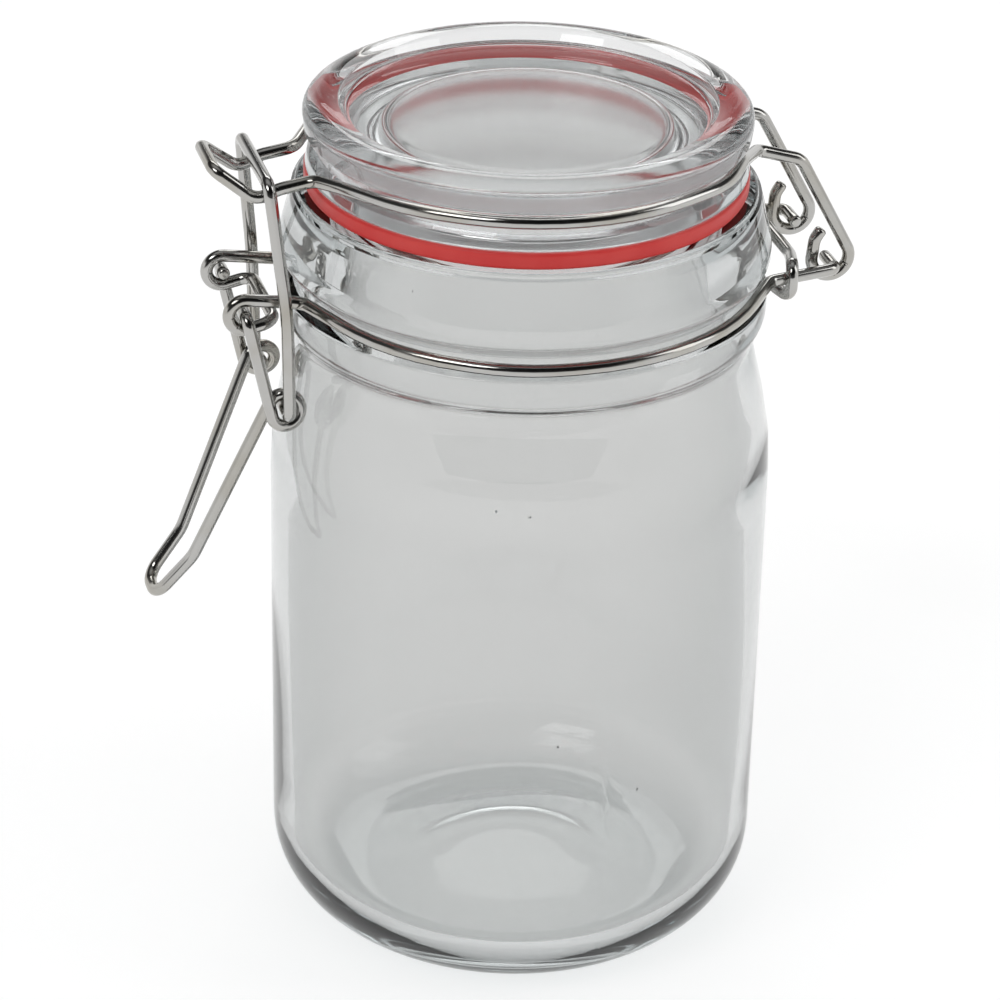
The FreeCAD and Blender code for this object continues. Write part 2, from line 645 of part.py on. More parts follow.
def make_clasp_lever():
    """Lever: pins through the neck wire's eyes, legs, coils, handle arms and a thumb lip."""
    pivot = Vector(-size("pivot_across"), 0, size("pivot_height"))
    coil = Vector(-size("coil_across"), 0, size("coil_height"))
    radius = size("coil_radius")
    legs = size("leg_spread")
    arms = size("arm_spread")
    lip = Vector(-size("lip_across"), -size("lip_spread"), size("lip_height"))
    arrive = touch_angle(coil, radius, pivot, 1)
    leave = touch_angle(coil, radius, lip, -1)
    near_half = [
        (Vector(pivot.x, -size("pin_end"), pivot.z), 0.0),
        (Vector(pivot.x, -legs, pivot.z), size("pin_bend")),
    ]
    near_half += arc_corners(coil, radius, arrive, leave + 720.0, legs, arms, 6)
    near_half += [
        (lip, size("lip_bend")),
        (Vector(-size("lip_end_across"), -size("lip_end_spread"), size("lip_end_height")),
         size("lip_end_bend")),
    ]
    wire = rounded_ends("ClaspLever", wire_solid("LeverWire", both_sides(near_half)))
    wire.Label = "clasp_lever"
    return wire


def make_clasp_link():
    """Link: pins in the lever's coils, legs, and the bar over the lid wire's nose."""
    coil = Vector(-size("coil_across"), 0, size("coil_height"))
    legs = size("link_spread")
    near_half = [
        (Vector(coil.x, -size("pin_end"), coil.z), 0.0),
        (Vector(coil.x, -legs, coil.z), size("pin_bend")),
        (Vector(-size("link_waist_across"), -legs, size("link_waist_height")),
         size("link_waist_bend")),
        (Vector(-size("link_bar_across"), -size("link_bar_spread"), size("link_bar_height")),
         size("link_bar_bend")),
    ]
    wire = rounded_ends("ClaspLink", wire_solid("LinkWire", both_sides(near_half)))
    wire.Label = "clasp_link"
    return wire


def check_and_write(parts):
    """Stop on any failed object or shape, then write one STEP file for each piece."""
    for item in doc.Objects:
        if "Invalid" in item.State or "Error" in item.State:
            raise RuntimeError(f"{item.Label} failed: {item.State}")
    os.makedirs("parts", exist_ok=True)
    for part in parts:
        shape = part.Shape
        if shape.isNull() or not shape.isValid() or len(shape.Solids) != 1:
            raise RuntimeError(f"{part.Label} is not one valid solid")
        shape.exportStep(f"parts/{part.Label}.step")
        box = shape.BoundBox
        print(f"{part.Label}: {shape.Volume / 1000:.2f} cm3, "
              f"x {box.XMin:.1f}..{box.XMax:.1f}, y {box.YMin:.1f}..{box.YMax:.1f}, "
              f"z {box.ZMin:.1f}..{box.ZMax:.1f}")


check_and_write([
    make_jar_glass(),
    make_neck_wire(),
    make_lid_glass(),
    make_seal_ring(),
    make_lid_wire(),
    make_clasp_lever(),
    make_clasp_link(),
])
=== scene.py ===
"""Clip-top storage jar: clear pressed glass, a red rubber seal and four bent wires.

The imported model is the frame.  Every piece is worked out from the sizes below, which are
millimetres, in the frame's own axes: +Z up the jar, the clasp towards -X, the hinge towards
+X, and the hinge pins along Y.
"""
from __future__ import annotations

import logging
import math
from dataclasses import dataclass, field
from enum import Enum
from typing import Callable

import bpy
import numpy as np
from mathutils import Matrix

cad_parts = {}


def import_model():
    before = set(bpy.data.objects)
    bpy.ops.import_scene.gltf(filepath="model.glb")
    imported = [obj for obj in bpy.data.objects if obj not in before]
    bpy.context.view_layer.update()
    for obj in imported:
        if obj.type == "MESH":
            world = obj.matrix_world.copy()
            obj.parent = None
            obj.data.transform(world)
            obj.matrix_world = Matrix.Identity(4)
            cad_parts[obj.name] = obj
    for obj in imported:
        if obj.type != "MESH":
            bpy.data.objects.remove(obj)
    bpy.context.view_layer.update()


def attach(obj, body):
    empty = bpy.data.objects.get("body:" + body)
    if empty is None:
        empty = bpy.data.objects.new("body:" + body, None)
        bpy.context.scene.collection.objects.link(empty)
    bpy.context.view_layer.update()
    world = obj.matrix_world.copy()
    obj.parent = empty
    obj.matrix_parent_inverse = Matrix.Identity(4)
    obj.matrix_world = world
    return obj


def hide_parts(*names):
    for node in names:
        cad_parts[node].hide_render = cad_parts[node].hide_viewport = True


Array = np.ndarray
Pair = tuple[float, float]
Triple = tuple[float, float, float]
Corner = tuple[float, float, float, float]
Rgba = tuple[float, float, float, float]
Shape = tuple[Array, list[list[int]], Array]
Socket = bpy.types.NodeSocket

LOG = logging.getLogger("clip_top_jar")
MM = 0.001
FULL_TURN = 2.0 * math.pi
TURN_DEGREES = 360.0
AXIS = (0.0, 0.0)

# Chains of points: the smallest bend or step, and how much of a run two bends may use up.
SMALLEST = 1e-4
RUN_SHARE = 0.999
NEARLY_PARALLEL = 0.1

# Glass: the largest turn between two points of a profile, and the scale of its map.
GLASS_ARC_STEP = math.radians(9.0)
MAP_NAME = "lengths"
MAP_RADIUS = 40.0
BUBBLE_RINGS, BUBBLE_SIDES = 9, 12

# Wire: its radius, how finely it is drawn, its rounded ends, and bends that several share.
WIRE_RADIUS = 1.05
WIRE_SIDES = 24
WIRE_ARC_STEP = math.radians(7.0)
WIRE_RUN_STEP = 3.0
END_ROUNDING = 0.6
END_RINGS = 5
END_GAP = 0.05
PIN_BEND = 1.5
ROOT_BEND = 2.4

# Clasp: where the lever turns and where its coils lie, as X and Z.
CLASP_PIVOT = (-49.4, 120.7)
CLASP_COIL = (-43.05, 103.5)

# Light: how often a ray may meet glass, and how often metal.
GLASS_BOUNCES = 14
METAL_BOUNCES = 10
WHITE = (1.0, 1.0, 1.0, 1.0)

# Handling marks: where the soft noise starts to show as a smudge, and where it is full.
SMUDGE_STOPS = ((0.45, 0.0), (0.75, 1.0))


class Touch(Enum):
    """Which touching point on a circle is meant, against the direction of the outside point."""

    ONWARD = 1
    BACK = -1


class Ray(Enum):
    """Kinds of ray, by the names of the outputs that tell them apart."""

    CAMERA = "Is Camera Ray"
    GLOSSY = "Is Glossy Ray"
    TRANSMISSION = "Is Transmission Ray"
    SHADOW = "Is Shadow Ray"
    DIFFUSE = "Is Diffuse Ray"


# ------------------------------------------------------------------ chains of rounded corners

def unit(vectors: Array) -> Array:
    """Vectors scaled to length 1, along the last axis."""
    return vectors / np.linalg.norm(vectors, axis=-1, keepdims=True)


def half_turns(points: Array) -> Array:
    """Half of the angle through which a chain turns at each of its inner points.

    Args:
        points: corner points, one row each.

    Returns:
        One angle in radians for each inner point: (pi - angle between the two runs) / 2.
    """
    back = unit(points[:-2] - points[1:-1])
    ahead = unit(points[2:] - points[1:-1])
    return (math.pi - np.arccos(np.clip((back * ahead).sum(1), -1.0, 1.0))) / 2.0


def fitted_radii(points: Array, wished: Array) -> Array:
    """The wished bend radii, or the largest that the runs beside each corner have room for.

    Args:
        points: corner points, one row each.
        wished: a radius for each point; those of the two ends are not used.

    Returns:
        Radii with room: r tan(turn / 2) is at most half a run, or a whole run at an end.
    """
    runs = np.linalg.norm(np.diff(points, axis=0), axis=1)
    share = np.full(len(runs), 0.5)
    share[[0, -1]] = 1.0
    room = np.minimum((runs * share)[:-1], (runs * share)[1:])
    fitted = wished.copy()
    fitted[1:-1] = np.minimum(wished[1:-1], RUN_SHARE * room / np.tan(half_turns(points)))
    return fitted


def straight_run(start: Array, end: Array, step: float) -> Array:
    """The inner points of a straight run, no further apart than a step."""
    count = max(1, math.ceil(float(np.linalg.norm(end - start)) / step))
    return start + np.outer(np.arange(1, count) / count, end - start)


def rounded_chain(points: Array, radii: Array, arc_step: float, run_step: float) -> Array:
    """Points along straight runs whose corners are rounded by tangent arcs.

    At a corner p with unit runs b (back) and a (ahead), half turn h and radius r, the arc
    starts at p + b r tan h and its centre is p + (a + b) / |a + b| * r / cos h.  A point of
    the arc is centre + (start - centre) cos t - b r sin t, for t from 0 to 2 h.

    Args:
        points: corner points, one row each.
        radii: the bend radius of each corner; those of the two ends are not used.
        arc_step: largest angle between two points of an arc, in radians.
        run_step: largest distance between two points of a straight run.

    Returns:
        The points in order, one row each.
    """
    pieces = [points[:1]]
    for index, half in enumerate(half_turns(points), start=1):
        corner, radius = points[index], max(radii[index], SMALLEST)
        back = unit(points[index - 1] - corner)
        ahead = unit(points[index + 1] - corner)
        start = corner + back * radius * math.tan(half)
        centre = corner + unit(ahead + back) * radius / math.cos(half)
        turn = np.linspace(0.0, 2.0 * half, max(2, math.ceil(2.0 * half / arc_step) + 1))
        arc = (centre + np.outer(np.cos(turn), start - centre)
               - np.outer(np.sin(turn), back * radius))
        pieces += [straight_run(pieces[-1][-1], start, run_step), arc]
    pieces += [straight_run(pieces[-1][-1], points[-1], run_step), points[-1:]]
    chain = np.concatenate(pieces)
    moved = np.linalg.norm(np.diff(chain, axis=0), axis=1) > SMALLEST
    return chain[np.concatenate([[True], moved])]


def rounded_profile(profile: tuple[Triple, ...], arc_step: float, run_step: float) -> Array:
    """Points along a profile whose corners are rounded by tangent arcs.

    Args:
        profile: radius from the axis, height and bend radius of each corner.
        arc_step: largest angle between two points of an arc, in radians.
        run_step: largest distance between two points of a straight run.

    Returns:
        Radius and height of each point, one row each.
    """
    data = np.asarray(profile)
    points = np.stack([data[:, 0], np.zeros(len(data)), data[:, 1]], axis=1)
    return rounded_chain(points, data[:, 2], arc_step, run_step)[:, [0, 2]]


# ------------------------------------------------------------------ surfaces

def even_angles(count: int) -> Array:
    """Evenly spaced angles round a full turn, without its end."""
    return np.linspace(0.0, FULL_TURN, count, endpoint=False)


def lengths_along(points: Array) -> Array:
    """How far each point lies along its chain."""
    return np.concatenate([[0.0], np.cumsum(np.linalg.norm(np.diff(points, axis=0), axis=1))])


def quads(number: Array) -> list[list[int]]:
    """Faces between neighbouring rows of vertex numbers, whose last column joins the first.

    Args:
        number: a grid of vertex numbers; a row that is a single point repeats its number.

    Returns:
        Lists of four vertex numbers, or three where a row is a single point.
    """
    right = np.roll(number, -1, axis=1)
    ring = np.stack([number[:-1], right[:-1], right[1:], number[1:]], axis=-1).reshape(-1, 4)
    first = ring[ring[:, 0] == ring[:, 1]][:, [1, 2, 3]]
    last = ring[ring[:, 2] == ring[:, 3]][:, [0, 1, 2]]
    plain = ring[(ring[:, 0] != ring[:, 1]) & (ring[:, 2] != ring[:, 3])]
    return plain.tolist() + first.tolist() + last.tolist()


def turned_surface(profile: Array, angles: Array, swell: Callable[[Array, Array], Array],
                   closed: bool) -> Shape:
    """A profile turned about the Z axis.

    Point (i, j) is ((r_i + s_ij) cos a_j, (r_i + s_ij) sin a_j, z_i), where s_ij is the swell.
    An open profile starts and ends on the axis, where each end is one point.

    Args:
        profile: radius and height of each profile point.
        angles: the angles of the turned copies, in radians, rising, less than a full turn.
        swell: gives s from the angles (a row) and the profile's point numbers (a column).
        closed: whether the profile is a closed loop, as for a ring.

    Returns:
        Vertices, faces and a map of angle against length along the profile.
    """
    count, around = len(profile), len(angles)
    radius = profile[:, :1] + swell(angles[None, :], np.arange(count)[:, None])
    grid = np.stack([radius * np.cos(angles), radius * np.sin(angles),
                     np.broadcast_to(profile[:, 1:], (count, around))], axis=-1)
    number = np.arange(count * around).reshape(count, around)
    chart = np.stack(np.broadcast_arrays(angles[None, :] * MAP_RADIUS,
                                         lengths_along(profile)[:, None]), axis=-1)
    if closed:
        number = np.vstack([number, number[:1]])
    else:
        number[0], number[-1] = number[0, 0], number[-1, 0]
    return grid.reshape(-1, 3), quads(number), chart.reshape(-1, 2)


def reflected(vector: Array, normal: Array) -> Array:
    """A vector mirrored in a plane, given by its normal of any length: v - 2 n (n v) / (n n)."""
    size = normal @ normal
    return vector - normal * (2.0 / size) * (normal @ vector) if size else vector


def carried_frames(path: Array) -> tuple[Array, Array]:
    """Two directions across a path that turn no more than the path does.

    The first is carried from point to point by two reflections: one in the plane half way
    between the points, and one that brings the mirrored direction along onto the true one.

    Args:
        path: points of the path, one row each.

    Returns:
        Two unit directions across, one row for each point.
    """
    ends = unit(np.diff(path, axis=0))
    along = unit(np.vstack([ends[:1], ends[:-1] + ends[1:], ends[-1:]]))
    seed = np.cross(along[0], [0.0, 0.0, 1.0])
    if np.linalg.norm(seed) < NEARLY_PARALLEL:
        seed = np.cross(along[0], [1.0, 0.0, 0.0])
    across = np.empty_like(path)
    across[0] = unit(seed)
    for index in range(len(path) - 1):
        step = path[index + 1] - path[index]
        rest = along[index + 1] - reflected(along[index], step)
        across[index + 1] = reflected(reflected(across[index], step), rest)
    return across, np.cross(along, across)


def wire_surface(path: Array) -> Shape:
    """A round wire along a path, with rounded ends.

    Point (i, j) is p_i + q_i (u_i cos a_j + v_i sin a_j).  The radius q is the wire's own,
    and at a distance d < c from an end it is (radius - c) + sqrt(c^2 - (c - d)^2), where c
    is the rounding.

    Args:
        path: points of the middle line, one row each.

    Returns:
        Vertices, faces and a map of length along the wire against its angle.
    """
    fine = END_ROUNDING * (1.0 - np.cos(np.linspace(0.0, math.pi / 2.0, END_RINGS)))
    head = path[0] + np.outer(fine, unit(path[1] - path[0]))
    tail = path[-1] + np.outer(fine[::-1], unit(path[-2] - path[-1]))
    length = lengths_along(path)
    inner = ((length > END_ROUNDING + END_GAP)
             & (length < length[-1] - END_ROUNDING - END_GAP))
    stations = np.concatenate([head, path[inner], tail])
    length = np.concatenate([fine, length[inner], length[-1] - fine[::-1]])
    inset = np.clip(END_ROUNDING - np.minimum(length, length[-1] - length), 0.0, None)
    bulge = np.sqrt(np.clip(END_ROUNDING ** 2 - inset ** 2, 0.0, None))
    width = WIRE_RADIUS - END_ROUNDING + bulge
    across, beside = carried_frames(stations)
    angles = even_angles(WIRE_SIDES)
    spread = (np.cos(angles)[None, :, None] * across[:, None, :]
              + np.sin(angles)[None, :, None] * beside[:, None, :])
    rings = (stations[:, None, :] + width[:, None, None] * spread).reshape(-1, 3)
    number = np.arange(len(rings)).reshape(len(stations), WIRE_SIDES)
    first, last = len(rings), len(rings) + 1
    number = np.vstack([np.full(WIRE_SIDES, first), number, np.full(WIRE_SIDES, last)])
    vertices = np.vstack([rings, stations[:1], stations[-1:]])
    chart = np.stack(np.broadcast_arrays(length[:, None], angles[None, :]), axis=-1).reshape(-1, 2)
    chart = np.vstack([chart, [[0.0, 0.0], [length[-1], 0.0]]])
    return vertices, [face[::-1] for face in quads(number)], chart


def seed_bubble(centre: Array, half_axes: Array) -> Shape:
    """A small gas bubble: point (i, j) is centre + half axes * the unit sphere's point.

    Its faces point inwards, because the glass lies outside of it.

    Args:
        centre: its middle.
        half_axes: half its size along X, Y and Z.

    Returns:
        Vertices, faces and an empty map.
    """
    rise = np.linspace(0.0, math.pi, BUBBLE_RINGS)[:, None]
    turn = even_angles(BUBBLE_SIDES)[None, :]
    ball = np.stack(np.broadcast_arrays(np.sin(rise) * np.cos(turn), np.sin(rise) * np.sin(turn),
                                        np.cos(rise)), axis=-1)
    number = np.arange(BUBBLE_RINGS * BUBBLE_SIDES).reshape(BUBBLE_RINGS, BUBBLE_SIDES)
    number[0], number[-1] = number[0, 0], number[-1, 0]
    vertices = (centre + ball * half_axes).reshape(-1, 3)
    return vertices, quads(number), np.zeros((len(vertices), 2))


def joined(shapes: list[Shape]) -> Shape:
    """Several shapes as one, with their vertex numbers moved up.

    Args:
        shapes: vertices, faces and a map of each.

    Returns:
        Vertices, faces and a map of them all.
    """
    starts = np.concatenate([[0], np.cumsum([len(shape[0]) for shape in shapes])])
    faces = [[number + int(start) for number in face]
             for start, shape in zip(starts, shapes) for face in shape[1]]
    return (np.vstack([shape[0] for shape in shapes]), faces,
            np.vstack([shape[2] for shape in shapes]))


def piece(name: str, shape: Shape, material: bpy.types.Material) -> bpy.types.Object:
    """A smooth mesh object at the origin from a shape in millimetres.

    Args:
        name: the object's name.
        shape: vertices, faces and a map; vertices that no face uses are left out.
        material: its finish.

    Returns:
        The object, linked to the scene.
    """
    vertices, faces, chart = shape
    used = np.unique(np.concatenate([np.asarray(face) for face in faces]))
    fresh = np.full(len(vertices), -1)
    fresh[used] = np.arange(len(used))
    mesh = bpy.data.meshes.new(name)
    mesh.from_pydata((vertices[used] * MM).tolist(), [],
                     [[int(fresh[number]) for number in face] for face in faces])
    mesh.shade_smooth()
    corner = np.empty(len(mesh.loops), dtype=np.int32)
    mesh.loops.foreach_get("vertex_index", corner)
    layer = mesh.uv_layers.new(name=MAP_NAME)
    layer.data.foreach_set("uv", (chart[used][corner] * MM).astype(np.float32).ravel())
    mesh.materials.append(material)
    mesh.update()
    thing = bpy.data.objects.new(name, mesh)
    bpy.context.scene.collection.objects.link(thing)
    return thing


# ------------------------------------------------------------------ finishes

def opaque(colour: Triple) -> Rgba:
    """A colour with full cover."""
    return (*colour, 1.0)


def grey(level: float) -> Rgba:
    """A grey of a level, with full cover."""
    return (level, level, level, 1.0)


class Nodes:
    """A small helper that adds and joins nodes of one tree."""

    def __init__(self, tree: bpy.types.NodeTree) -> None:
        """Take a tree and clear it."""
        self.tree = tree
        tree.nodes.clear()

    def put(self, given: object, target: Socket) -> None:
        """Link a socket to an input, or write a value into it.

        Args:
            given: the socket or the value.
            target: the input.
        """
        if isinstance(given, Socket):
            self.tree.links.new(given, target)
        else:
            target.default_value = given

    def add(self, kind: str, **values: object) -> bpy.types.Node:
        """Add a node of a kind, with its attributes and then its inputs.

        Args:
            kind: the node's type name.
            **values: attributes, and inputs (capitalised, with underscores for spaces),
                each a value or the socket that feeds it.

        Returns:
            The node.
        """
        node = self.tree.nodes.new(kind)
        for name, value in values.items():
            if not name[0].isupper():
                setattr(node, name, value)
        for name, value in values.items():
            if name[0].isupper():
                self.put(value, node.inputs[name.replace("_", " ")])
        return node

    def math(self, operation: str, first: Socket, second: Socket | float) -> Socket:
        """A sum on two sockets, or on a socket and a number.

        Args:
            operation: the sum's name, such as MULTIPLY.
            first: its first input.
            second: its second input.

        Returns:
            Its result.
        """
        node = self.add("ShaderNodeMath", operation=operation)
        self.put(first, node.inputs[0])
        self.put(second, node.inputs[1])
        return node.outputs[0]

    def blend(self, factor: Socket, first: Rgba, second: Rgba | Socket) -> Socket:
        """A colour that goes from the first to the second as the factor goes from 0 to 1."""
        return self.add("ShaderNodeMix", data_type="RGBA", A=first, B=second,
                        Factor=factor).outputs["Result"]

    def mix(self, factor: Socket, first: Socket, second: Socket) -> Socket:
        """A mix of two shaders.

        Args:
            factor: 0 for the first alone, 1 for the second alone.
            first: the first shader.
            second: the second shader.

        Returns:
            The mixed shader.
        """
        node = self.add("ShaderNodeMixShader", Fac=factor)
        self.put(first, node.inputs[1])
        self.put(second, node.inputs[2])
        return node.outputs["Shader"]

    def ramp(self, factor: Socket, stops: tuple[Pair, ...]) -> Socket:
        """A ramp of greys.

        Args:
            factor: what it reads.
            stops: a place and a level for each stop.

        Returns:
            Its colour.
        """
        node = self.add("ShaderNodeValToRGB", Fac=factor)
        elements = node.color_ramp.elements
        while len(elements) > 1:
            elements.remove(elements[-1])
        elements[0].position, elements[0].color = stops[0][0], grey(stops[0][1])
        for place, level in stops[1:]:
            elements.new(place).color = grey(level)
        return node.outputs["Color"]

    def met_by(self, *kinds: Ray) -> Socket:
        """A mask of the rays that meet the surface or the surround.

        Args:
            *kinds: the kinds of ray that count.

        Returns:
            A value that is 1 for rays of any of these kinds, and 0 for others.
        """
        rays = self.add("ShaderNodeLightPath")
        result = rays.outputs[kinds[0].value]
        for kind in kinds[1:]:
            result = self.math("MAXIMUM", result, rays.outputs[kind.value])
        return result


def handling_marks() -> bpy.types.NodeTree:
    """A node group of faint smudges, shared by rubber and wire: soft noise raised by a ramp.

    Returns:
        The group, with inputs Vector, Size and Amount and outputs Smudge and Height.
    """
    group = bpy.data.node_groups.new("handling_marks", "ShaderNodeTree")
    for name, side, kind in (("Vector", "INPUT", "NodeSocketVector"),
                             ("Size", "INPUT", "NodeSocketFloat"),
                             ("Amount", "INPUT", "NodeSocketFloat"),
                             ("Smudge", "OUTPUT", "NodeSocketFloat"),
                             ("Height", "OUTPUT", "NodeSocketFloat")):
        group.interface.new_socket(name, in_out=side, socket_type=kind)
    nodes = Nodes(group)
    given = nodes.add("NodeGroupInput").outputs
    soft = nodes.add("ShaderNodeTexNoise", Vector=given["Vector"], Scale=given["Size"],
                     Detail=3.0, Roughness=0.55).outputs["Fac"]
    smudge = nodes.ramp(soft, SMUDGE_STOPS)
    nodes.add("NodeGroupOutput", Smudge=nodes.math("MULTIPLY", smudge, given["Amount"]),
              Height=soft)
    return group


def new_material(name: str) -> tuple[bpy.types.Material, Nodes]:
    """An empty node material.

    Args:
        name: its name.

    Returns:
        The material and a helper for its nodes.
    """
    material = bpy.data.materials.new(name)
    material.use_nodes = True
    return material, Nodes(material.node_tree)


def marked(nodes: Nodes, used: bpy.types.Node, colours: tuple[Triple, Triple],
           roughness: Pair) -> dict[str, Socket]:
    """A base colour and a roughness that vary with the handling marks.

    Args:
        nodes: the material's helper.
        used: the group of marks, as it is placed in this material.
        colours: the clean colour and that of a full smudge.
        roughness: the roughness at the lowest and the highest of the marks.

    Returns:
        The sockets for a shader's Base_Color and Roughness.
    """
    object_place = nodes.add("ShaderNodeTexCoord").outputs["Object"]
    nodes.put(object_place, used.inputs["Vector"])
    worn = nodes.add("ShaderNodeMapRange", Value=used.outputs["Height"],
                     To_Min=roughness[0], To_Max=roughness[1])
    colour = nodes.blend(used.outputs["Smudge"], opaque(colours[0]), opaque(colours[1]))
    return {"Base_Color": colour, "Roughness": worn.outputs["Result"]}


@dataclass(frozen=True)
class PressedGlass:
    """Clear pressed glass whose colour deepens with thickness, under a painted grey shade that
    darkens further towards its outline.
    """

    name: str
    # The base tint is painted shade: a grey that stands in for a darker surround seen through the
    # glass.
    painted_shade_tint: Triple
    # Painted shade at the outline, where the surface turns away from the view.
    painted_edge_shade: Triple
    density: float = 24.0
    deep_tint: Triple = (0.48, 0.54, 0.55)
    shade: Triple = (0.965, 0.97, 0.97)
    ior: float = 1.5
    edge_power: float = 2.0
    frost: float = 0.0
    frost_reach: float = 0.036
    frost_fade: float = 0.002

    def material(self) -> bpy.types.Material:
        """The finish: a solid glass lens that lets shadow and diffuse rays through tinted.

        The frost covers the start of the piece's profile, up to the frost's reach.

        Returns:
            The material.
        """
        material, nodes = new_material(self.name)
        # Painted shade: the grey base colour darkens towards the outline, by the angle to the
        # view.
        slant = nodes.add("ShaderNodeLayerWeight", Blend=0.5).outputs["Facing"]
        colour = nodes.blend(nodes.math("POWER", slant, self.edge_power), opaque(self.painted_shade_tint),
                             opaque(self.painted_edge_shade))
        lengths = nodes.add("ShaderNodeUVMap", uv_map=MAP_NAME)
        split = nodes.add("ShaderNodeSeparateXYZ", Vector=lengths.outputs["UV"])
        frosted = nodes.add("ShaderNodeMapRange", Value=split.outputs["Y"],
                            From_Min=self.frost_reach - self.frost_fade,
                            From_Max=self.frost_reach, To_Min=self.frost, To_Max=0.0)
        glass = nodes.add("ShaderNodeBsdfPrincipled", IOR=self.ior, Metallic=0.0,
                          Transmission_Weight=1.0, Base_Color=colour,
                          Roughness=frosted.outputs["Result"])
        clear = nodes.add("ShaderNodeBsdfTransparent", Color=opaque(self.shade))
        surface = nodes.mix(nodes.met_by(Ray.SHADOW, Ray.DIFFUSE), glass.outputs["BSDF"],
                            clear.outputs["BSDF"])
        depth = nodes.add("ShaderNodeVolumeAbsorption", Color=opaque(self.deep_tint),
                          Density=self.density)
        nodes.add("ShaderNodeOutputMaterial", Surface=surface, Volume=depth.outputs["Volume"])
        return material


@dataclass(frozen=True)
class SealRubber:
    """Soft red rubber, slightly see-through at its edges, with a dull moulded skin."""

    name: str = "seal_rubber"
    colour: Triple = (0.56, 0.022, 0.020)
    pale: Triple = (0.66, 0.075, 0.062)
    roughness: Pair = (0.34, 0.52)
    grain_depth: float = 0.00008

    def material(self, marks: bpy.types.NodeTree) -> bpy.types.Material:
        """The finish, with a fine grain and a bloom that pales the colour in patches.

        Args:
            marks: the group of handling marks.

        Returns:
            The material.
        """
        material, nodes = new_material(self.name)
        used = nodes.add("ShaderNodeGroup", node_tree=marks, Size=90.0, Amount=0.5)
        place = nodes.add("ShaderNodeTexCoord")
        grain = nodes.add("ShaderNodeTexNoise", Vector=place.outputs["Object"], Scale=2600.0,
                          Detail=2.0)
        bump = nodes.add("ShaderNodeBump", Strength=0.25, Distance=self.grain_depth,
                         Height=grain.outputs["Fac"])
        rubber = nodes.add("ShaderNodeBsdfPrincipled", IOR=1.5, Subsurface_Weight=0.15,
                           Subsurface_Scale=0.002, Normal=bump.outputs["Normal"],
                           **marked(nodes, used, (self.colour, self.pale), self.roughness))
        nodes.add("ShaderNodeOutputMaterial", Surface=rubber.outputs["BSDF"])
        return material


@dataclass(frozen=True)
class DrawnWire:
    """Bright drawn steel wire with fine lines along it and a faint warm bloom."""

    name: str = "drawn_wire"
    colour: Triple = (0.46, 0.455, 0.44)
    bloom: Triple = (0.34, 0.315, 0.26)
    roughness: Pair = (0.07, 0.20)
    line_depth: float = 0.00004
    line_scale: Triple = (30.0, 3200.0, 1.0)

    def material(self, marks: bpy.types.NodeTree) -> bpy.types.Material:
        """The finish.  The drawing lines follow the wire's own map of length and angle.

        Args:
            marks: the group of handling marks.

        Returns:
            The material.
        """
        material, nodes = new_material(self.name)
        used = nodes.add("ShaderNodeGroup", node_tree=marks, Size=70.0, Amount=0.8)
        lengths = nodes.add("ShaderNodeUVMap", uv_map=MAP_NAME)
        stretch = nodes.add("ShaderNodeMapping", Vector=lengths.outputs["UV"],
                            Scale=self.line_scale)
        lines = nodes.add("ShaderNodeTexNoise", Vector=stretch.outputs["Vector"], Scale=1.0,
                          Detail=3.0)
        bump = nodes.add("ShaderNodeBump", Strength=0.3, Distance=self.line_depth,
                         Height=lines.outputs["Fac"])
        steel = nodes.add("ShaderNodeBsdfPrincipled", Metallic=1.0,
                          Normal=bump.outputs["Normal"],
                          **marked(nodes, used, (self.colour, self.bloom), self.roughness))
        nodes.add("ShaderNodeOutputMaterial", Surface=steel.outputs["BSDF"])
        return material


# ------------------------------------------------------------------ glass and rubber

def within(place: Array, band: Corner) -> Array:
    """A value that is 1 inside a band and fades to 0 at both of its ends.

    Args:
        place: where it is wanted.
        band: start and length of the rise, then end and length of the fall.

    Returns:
        clip((place - start) / rise, 0, 1) * clip((end - place) / fall, 0, 1).
    """
    start, rise, end, fall = band
    return np.clip((place - start) / rise, 0.0, 1.0) * np.clip((end - place) / fall, 0.0, 1.0)


